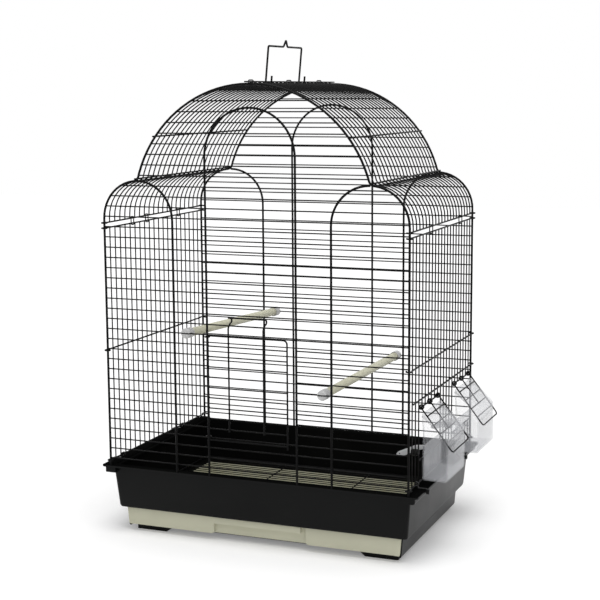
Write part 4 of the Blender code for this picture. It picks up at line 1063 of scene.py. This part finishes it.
# %% The grate
GRATE_BAR_Z = HOUSING_TOP + WALL + 0.0013
GRATE_Z = GRATE_BAR_Z + 0.0021
GRATE_X, GRATE_Y = (half - WALL - 0.0022 for half in TRAY_LOW)
GRATE_PITCH, GRATE_CORNER, GRATE_BAR_X = 0.010, 0.008, 0.077
GRATE_FRAME_R, GRATE_WIRE_R, GRATE_BAR_R = 0.0014, 0.00085, 0.0011
rounded_loop(at(GRATE_X, -GRATE_Y, GRATE_Z),
             ((0, 2 * GRATE_Y, 0), (-2 * GRATE_X, 0, 0), (0, -2 * GRATE_Y, 0)), GRATE_CORNER, 6)
wires = [end_wire("grate_frame", GRATE_FRAME_R)]
count = round(2 * GRATE_Y / GRATE_PITCH)
gap = 2 * GRATE_Y / count
first = -GRATE_Y + gap
thin = rod("grate_wire", at(-GRATE_X, first, GRATE_Z), at(GRATE_X, first, GRATE_Z), GRATE_WIRE_R)
wires.append(repeat(thin, count - 1, (0, gap, 0)))
for x in (-GRATE_BAR_X, GRATE_BAR_X):
    wires.append(rod("grate_bar", at(x, -GRATE_Y, GRATE_BAR_Z), at(x, GRATE_Y, GRATE_BAR_Z),
                     GRATE_BAR_R, 12))
finish_wires("grate_wires", wires, "grate", "floor_grate")

# %% [markdown]
# ## The feeder flaps and cups
# Each cup is a clear box that hangs outside its opening. It is cut on a slope, and its sloping top
# is closed, as a clear hood under the wire flap that lies over it. The bird leans over the cup's
# sill from inside. A tongue of thicker clear plastic, with a hole near its tip, runs on edge from
# the cup's back into the cage, beside a round black button that it springs against.

# %% The flaps
FLAP_RUN, FLAP_HALF, FLAP_START, FLAP_BEND = 0.081, 0.046, 0.0032, 0.006
SLOPE = math.radians(52.6)
FLAP_DOWN = Vector((math.cos(SLOPE), 0, -math.sin(SLOPE)))
COIL_R, COIL_PITCH, COIL_TURNS, COIL_STEPS = 0.0031, 0.0023, 3, 48


def cup_middle(first):
    """The middle of a cup's opening, from the number of the wire before it."""
    return (side_y(first) + side_y(first + CUP_SPAN)) / 2


def flap_place(first, run, across):
    """A point on a flap: how far down its slope, and how far across."""
    return at(HALF_WIDTH, cup_middle(first) + across, FEEDER_TOP_Z) + FLAP_DOWN * run


def hinge_coil(first, across):
    """Turns of the flap's wire round the bar that it hangs on."""
    begin_wire(flap_place(first, COIL_R, across))
    curl(360 * COIL_TURNS, flap_place(first, 0, across), steps=COIL_STEPS)
    leave_edit()
    for vertex in bpy.context.object.data.vertices:
        vertex.co.y += COIL_PITCH * COIL_TURNS * (vertex.index / COIL_STEPS - 0.5)
    return end_wire("hinge_coil", FLAP_R, 8)


def flap_rod(first, *ends):
    """A straight wire of the flap between two of its places."""
    return rod("flap_wire", *(flap_place(first, *end) for end in ends), THIN_R, 10)


def flap_wires(first):
    """Frame, cross wires, half centre wire and the three coils of one flap."""
    outline = [flap_place(first, *place) for place in (
        (FLAP_START, -FLAP_HALF), (FLAP_RUN, -FLAP_HALF),
        (FLAP_RUN, FLAP_HALF), (FLAP_START, FLAP_HALF))]
    begin_wire(outline[0])
    through(outline)
    round_bends(FLAP_BEND)
    parts = [end_wire("flap_frame", FLAP_R)]
    for step in range(1, 5):
        run = FLAP_RUN * step / 5
        parts.append(flap_rod(first, (run, -FLAP_HALF), (run, FLAP_HALF)))
    parts.append(flap_rod(first, (FLAP_START, 0), (FLAP_RUN * 0.62, 0)))
    return parts + [hinge_coil(first, across) for across in (0.003 - FLAP_HALF, 0, FLAP_HALF - 0.003)]


for which, first in zip(("front", "back"), CUP_WIRES):
    finish_wires(f"{which}_flap_wires", flap_wires(first), f"flap_{which}", f"feeder_flap_{which}")

# %% The cups
CUP_IN, CUP_OUT, CUP_HALF, CUP_THICK = HALF_WIDTH + 0.0034, HALF_WIDTH + 0.0424, 0.050, 0.002
CUP_LOW, CUP_SILL = ROW_ZERO - 0.003, ROW_ZERO + 0.049
CUP_SLOPE, CUP_CORNER, HOOD_DROP = math.tan(SLOPE), 0.004, 0.0034
TONGUE_LONG, TONGUE_THICK, TONGUE_CORNER, HOLE_R = 0.042, 0.0022, 0.0015, 0.0013
print("cup, mm:", round(2000 * CUP_HALF, 1), "wide and", round(1000 * (CUP_OUT - CUP_IN), 1), "deep")


def clear_cup(name, first):
    """Block, sloping cut, rounded corners, the back open above its sill, and then the wall."""
    middle = cup_middle(first)
    high = FEEDER_TOP_Z - (CUP_IN - HALF_WIDTH) * CUP_SLOPE - HOOD_DROP
    cup = box_piece(name, at(CUP_IN, middle - CUP_HALF, CUP_LOW), at(CUP_OUT, middle + CUP_HALF, high))
    enter_edit()
    select_whole()
    bpy.ops.mesh.bisect(plane_co=at(CUP_IN, middle, high), plane_no=(CUP_SLOPE, 0, 1),
                        clear_outer=True, use_fill=True)
    select_whole()
    bpy.ops.mesh.bisect(plane_co=at(0, middle, CUP_SILL), plane_no=(0, 0, 1))
    leave_edit()
    select_edges(cup, lambda a, b: abs(a.x - b.x) < 0.0001 and abs(a.y - b.y) < 0.0001)
    bpy.ops.mesh.bevel(offset=CUP_CORNER, segments=5)
    select_edges(cup, lambda a, b: max(a.z, b.z) < CUP_LOW + 0.0001)
    bpy.ops.mesh.bevel(offset=CUP_CORNER, segments=5)
    select_faces(cup, lambda place, normal: normal.x < -0.95 and place.z > CUP_SILL)
    bpy.ops.mesh.delete(type="FACE")
    leave_edit()
    return thicken(cup, CUP_THICK)


# %% The tongues
def drum(name, start, end, radius, sides=32):
    """A round bar whose rims are still sharp."""
    piece = cylinder(name, start, end, radius, sides)
    settle()
    return piece


def plate(name, outline, thickness, corner=0):
    """A leaf: its outline in an upright plane is filled, and pushed out along Y."""
    begin_wire(outline[0])
    through(outline)
    close_loop()
    if corner:
        select_whole()
        bpy.ops.mesh.bevel(affect="VERTICES", offset=corner, segments=3)
    select_whole()
    bpy.ops.mesh.edge_face_add()
    extrude(0, thickness, 0)
    select_whole()
    bpy.ops.mesh.normals_make_consistent(inside=False)
    leave_edit()
    settle()
    return call_it(bpy.context.object, name)


def cup_tongue(first):
    """The tongue: a thin leaf on edge that slopes down into the cage, with a hole near its tip."""
    y = cup_middle(first) - CUP_HALF + 0.006
    root, tip = CUP_IN + 0.001, CUP_IN - TONGUE_LONG
    outline = ((root, 0.0015), (root - 0.013, 0.0005), (tip + 0.002, -0.0125), (tip, -0.0165),
               (tip + 0.004, -0.0180), (tip + 0.014, -0.0165), (root - 0.011, -0.0070), (root, -0.0045))
    tongue = plate("tongue", [at(x, y - 0.001, CUP_SILL + z) for x, z in outline],
                   TONGUE_THICK, TONGUE_CORNER)
    hole, across = at(tip + 0.005, y, CUP_SILL - 0.0150), Vector((0, 0.01, 0))
    return combine(tongue, drum("hole", hole - across, hole + across, HOLE_R, 16), "DIFFERENCE")


# %% Both cups
for which, first in zip(("front", "back"), CUP_WIRES):
    cup = combine(clear_cup(f"{which}_clear_cup", first), cup_tongue(first))
    smooth(soften(cup, 0.0005, 2, 40))
    dress(cup, CLEAR_PLASTIC, "clear_plastic", f"cup_{which}", f"feeder_cup_{which}")
    second_finish(cup, TONGUE_PLASTIC, lambda place, normal: place.x < MIDDLE.x + CUP_IN - 0.001)

# %% The buttons beside the cups
BUTTON_R, BUTTON_LONG, BUTTON_RIM = 0.005, 0.0118, 0.0018
BUTTON_X, BUTTON_Z = HALF_WIDTH - 0.0051, ROW_ZERO + 0.042
for which, first in zip(("front", "back"), CUP_WIRES):
    middle, half = at(BUTTON_X, side_y(first), BUTTON_Z), Vector((BUTTON_LONG / 2, 0, 0))
    button = drum(f"{which}_button", middle - half, middle + half, BUTTON_R)
    select_faces(button, lambda place, normal: abs(normal.x) > 0.9)
    bpy.ops.mesh.inset(thickness=BUTTON_RIM)
    bpy.ops.transform.resize(value=(0.9, 1, 1), center_override=middle)
    leave_edit()
    smooth(soften(button, 0.0007, 3))
    dress(button, BLACK_PLASTIC, "black_plastic", "cage_and_base", f"cup_button_{which}")

# %% [markdown]
# ## The perches
# A perch is a cream dowel with a milky cap pushed on each end. The cap's nose has a slot that
# grips one wire of the frame, so a perch can be set at any height.

# %% Perches and caps
PERCH_R, PERCH_SHORT = 0.0065, 0.0025
CAP_R, CAP_DEEP, CAP_NOSE = 0.0079, 0.014, 0.0035
CAP_ROUND, CAP_WALL, CAP_FLOOR = 0.0028, 0.0010, 0.0022
SLOT_HALF, SLOT_IN = 0.0012, 0.0013
PERCH_ENDS = {"left": (-0.110, 13, -0.104, 12), "right": (0.113, 8, 0.118, 8)}


def perch_cap(name, seat, inward):
    """Cap: a drum with a rounded nose, bored from inside and slotted for the wire."""
    cap = drum(name, seat - inward * CAP_NOSE, seat + inward * CAP_DEEP, CAP_R)
    select_faces(cap, lambda place, normal: normal.dot(inward) < -0.9)
    bpy.ops.mesh.bevel(offset=CAP_ROUND, segments=5)
    select_faces(cap, lambda place, normal: normal.dot(inward) > 0.9)
    bpy.ops.mesh.inset(thickness=CAP_WALL)
    extrude(*(-inward * (CAP_DEEP - CAP_FLOOR)))
    leave_edit()
    out = -inward.y / abs(inward.y)
    slot = box_piece("slot", seat + Vector((-0.02, -out * SLOT_IN, -SLOT_HALF)),
                     seat + Vector((0.02, out * 0.008, SLOT_HALF)))
    return smooth(soften(combine(cap, slot, "DIFFERENCE"), 0.0003, 2, 35))


for which, (front_x, front_row, back_x, back_row) in PERCH_ENDS.items():
    front, back = at(front_x, -ROW_Y, row_z(front_row)), at(back_x, ROW_Y, row_z(back_row))
    along = (back - front).normalized()
    dowel = drum(f"{which}_perch_dowel", front + along * PERCH_SHORT, back - along * PERCH_SHORT,
                 PERCH_R)
    smooth(soften(dowel, 0.0008, 3))
    dress(dowel, PERCH_PLASTIC, "cream_plastic", "cage_and_base", f"perch_{which}")
    for end, seat, inward in (("front", front, along), ("back", back, -along)):
        cap = perch_cap(f"{which}_perch_{end}_grip", seat, inward)
        dress(cap, MILKY_PLASTIC, "cap_plastic", "cage_and_base", f"perch_{which}_{end}_cap")

# %% [markdown]
# ## The handle
# A bail of heavier wire hooks under the two ridge bars at each end, so it folds flat to either
# side. Its corners are bent round a small pin, and its top rises to a blunt point in the middle,
# where a hanging hook finds the balance. It stands loose in its hooks, so it leans a few degrees.

# %% The handle
HANDLE_FRONT, HANDLE_LONG, HANDLE_HIGH, HANDLE_PEAK, HANDLE_LEAN = -0.0965, 0.1335, 0.053, 0.0105, 5.4
HOOK_R, HANDLE_BEND = 0.0046, 0.0026
half, notch = HANDLE_LONG / 2, 0.72 * HANDLE_PEAK
pivot = at(0, HANDLE_FRONT + half, RIDGE_BAR_Z)
begin_wire(pivot + Vector((HOOK_R, -half, 2 * HOOK_R)))
extrude(0, 0, -2 * HOOK_R)
curl(-180, pivot + Vector((0, -half, 0)), (0, 1, 0), 10)
through([(0, y, z) for y, z in (
    (-half, 0), (-half, HANDLE_HIGH), (-notch, HANDLE_HIGH), (0, HANDLE_HIGH + HANDLE_PEAK),
    (notch, HANDLE_HIGH), (half, HANDLE_HIGH), (half, 0))])
curl(180, pivot + Vector((0, half, 0)), (0, 1, 0), 10)
extrude(0, 0, 2 * HOOK_R)
round_bends(HANDLE_BEND)
select_whole()
bpy.ops.transform.rotate(value=-math.radians(HANDLE_LEAN), orient_axis="Y", center_override=pivot)
bail = smooth(end_wire("carrying_bail", HANDLE_R))
dress(bail, POWDER_COAT, "black_wire", "handle", "handle")

# %% [markdown]
# ## The base clips
# Four black clips snap round the lowest side bars and hook over the base's rim. Each is drawn as
# its side outline, filled, and pushed out to its width.

# %% The base clips
CLIP_HOOK, CLIP_TIP, CLIP_BORE, CLIP_BARREL, CLIP_WIDE = 0.2623, 0.267, 0.00215, 0.00325, 0.005
CLIP_DOWN, CLIP_UP = 0.0053, 0.0022
rest = RIM_Z + 0.0003
low, high = rest - CLIP_DOWN, rest + CLIP_UP
CLIP_OUTLINE = ((HALF_WIDTH, rest), (CLIP_HOOK, rest), (CLIP_HOOK, low), (CLIP_TIP, low),
                (CLIP_TIP, rest), (CLIP_HOOK, high), (HALF_WIDTH + CLIP_BARREL, high),
                (HALF_WIDTH + CLIP_BARREL / 2, BOTTOM_BAR_Z),
                (HALF_WIDTH - CLIP_BARREL * 0.9, BOTTOM_BAR_Z - CLIP_BARREL / 2))
for which, hand in (("left", -1), ("right", 1)):
    for end, index in (("front", 2), ("back", 15)):
        y = (side_y(index) + side_y(index + 1)) / 2
        outline = [at(hand * x, y - CLIP_WIDE / 2, z) for x, z in CLIP_OUTLINE]
        clip = plate(f"{end}_{which}_clip", outline, CLIP_WIDE)
        bar, width = at(hand * HALF_WIDTH, y, BOTTOM_BAR_Z), Vector((0, CLIP_WIDE, 0))
        combine(clip, drum("barrel", bar - width / 2, bar + width / 2, CLIP_BARREL, 24))
        combine(clip, drum("bore", bar - width, bar + width, CLIP_BORE, 24), "DIFFERENCE")
        smooth(soften(clip, 0.0004, 2))
        dress(clip, BLACK_PLASTIC, "black_plastic", f"clip_{end}_{which}", f"base_clip_{end}_{which}")

# %% [markdown]
# ## Floor, light and camera
# The picture is a plain product shot: a white sweep, soft light from above and a little from the
# front and right, and a long lens seen from slightly above. The floor is white by itself where
# the camera sees it, and keeps the soft shadow under the base.

# %% The floor
deselect_pieces()
bpy.ops.mesh.primitive_plane_add(size=12, location=(0, 0, 0))
floor = call_it(bpy.context.object, "studio_floor")
floor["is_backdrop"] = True
print(floor.name, "is", round(floor.dimensions.x), "m wide")


# %% A backdrop that stays white
def open_white(tree):
    """1 for a ray that looks straight at the backdrop, in a mirror or through glass."""
    rays = tree.nodes.new("ShaderNodeLightPath")
    found = rays.outputs["Is Camera Ray"]
    for kind in ("Is Glossy Ray", "Is Transmission Ray"):
        either = tree.nodes.new("ShaderNodeMath")
        either.operation = "MAXIMUM"
        tree.links.new(found, either.inputs[0])
        tree.links.new(rays.outputs[kind], either.inputs[1])
        found = either.outputs[0]
    return found


def show(tree, plain, seen, output):
    """Sends one shader to the rays of open_white, and the plain one to the light that bounces."""
    pick = tree.nodes.new("ShaderNodeMixShader")
    tree.links.new(open_white(tree), pick.inputs["Fac"])
    tree.links.new(plain.outputs[0], pick.inputs[1])
    tree.links.new(seen.outputs[0], pick.inputs[2])
    tree.links.new(pick.outputs[0], tree.nodes[output].inputs["Surface"])


# %% The floor's paper
made, paper, place = new_material("white_sweep", (0.86, 0.86, 0.86), 1, 0)
tree = made.node_tree
glow = tree.nodes.new("ShaderNodeEmission")
glow.inputs["Strength"].default_value = 0.20
both = tree.nodes.new("ShaderNodeAddShader")
tree.links.new(paper.outputs[0], both.inputs[0])
tree.links.new(glow.outputs[0], both.inputs[1])
show(tree, paper, both, "Material Output")
floor.data.materials.append(made)
print(floor.name, "wears", made.name)

# %% The world
world = bpy.data.worlds.new("white_studio")
bpy.context.scene.world = world
world.use_nodes = True
tree = world.node_tree
dome, seen = tree.nodes["Background"], tree.nodes.new("ShaderNodeBackground")
for background, strength in ((dome, 0.42), (seen, 1)):
    background.inputs["Color"].default_value = (1, 1, 1, 1)
    background.inputs["Strength"].default_value = strength
show(tree, dome, seen, "World Output")
print(world.name, "lights at", dome.inputs["Strength"].default_value)


# %% The lamps
def soft_sun(name, azimuth, height, strength, spread_deg):
    """A lamp as even over the whole floor as an overcast window wall."""
    turn, rise = math.radians(azimuth), math.radians(height)
    towards = Vector((math.sin(turn) * math.cos(rise), -math.cos(turn) * math.cos(rise),
                      math.sin(rise)))
    deselect_pieces()
    bpy.ops.object.light_add(type="SUN", location=towards * 3)
    lamp = bpy.context.object
    lamp.name = name
    lamp.data.energy = strength
    lamp.data.angle = math.radians(spread_deg)
    lamp.rotation_euler = towards.to_track_quat("Z", "Y").to_euler()


soft_sun("overhead_light", 30, 80, 1.70, 38)
soft_sun("front_fill", 25, 28, 0.70, 70)

# %% The camera
VIEW_TURN, VIEW_DOWN, VIEW_ROLL = math.radians(21.988), math.radians(8.605), math.radians(-0.3744)
CAMERA_PLACE, LENS_MM, SENSOR_MM = (0.82033, -2.04384, 0.69876), 83.35, 36
forward = Vector((-math.sin(VIEW_TURN) * math.cos(VIEW_DOWN), math.cos(VIEW_TURN) * math.cos(VIEW_DOWN),
                  -math.sin(VIEW_DOWN)))
level = Vector((math.cos(VIEW_TURN), math.sin(VIEW_TURN), 0))
up = level.cross(forward)
right = level * math.cos(VIEW_ROLL) + up * math.sin(VIEW_ROLL)
up = up * math.cos(VIEW_ROLL) - level * math.sin(VIEW_ROLL)
bpy.ops.object.camera_add(location=CAMERA_PLACE)
camera = bpy.context.object
camera.rotation_euler = Matrix((right, up, -forward)).transposed().to_euler()
camera.data.lens, camera.data.sensor_width = LENS_MM, SENSOR_MM
bpy.context.scene.camera = camera
bpy.context.scene.view_settings.view_transform = "Standard"

# %% Measure and finish
low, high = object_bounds()
print("dressed box, mm:", [round(1000 * v, 1) for v in (*low, *high)])
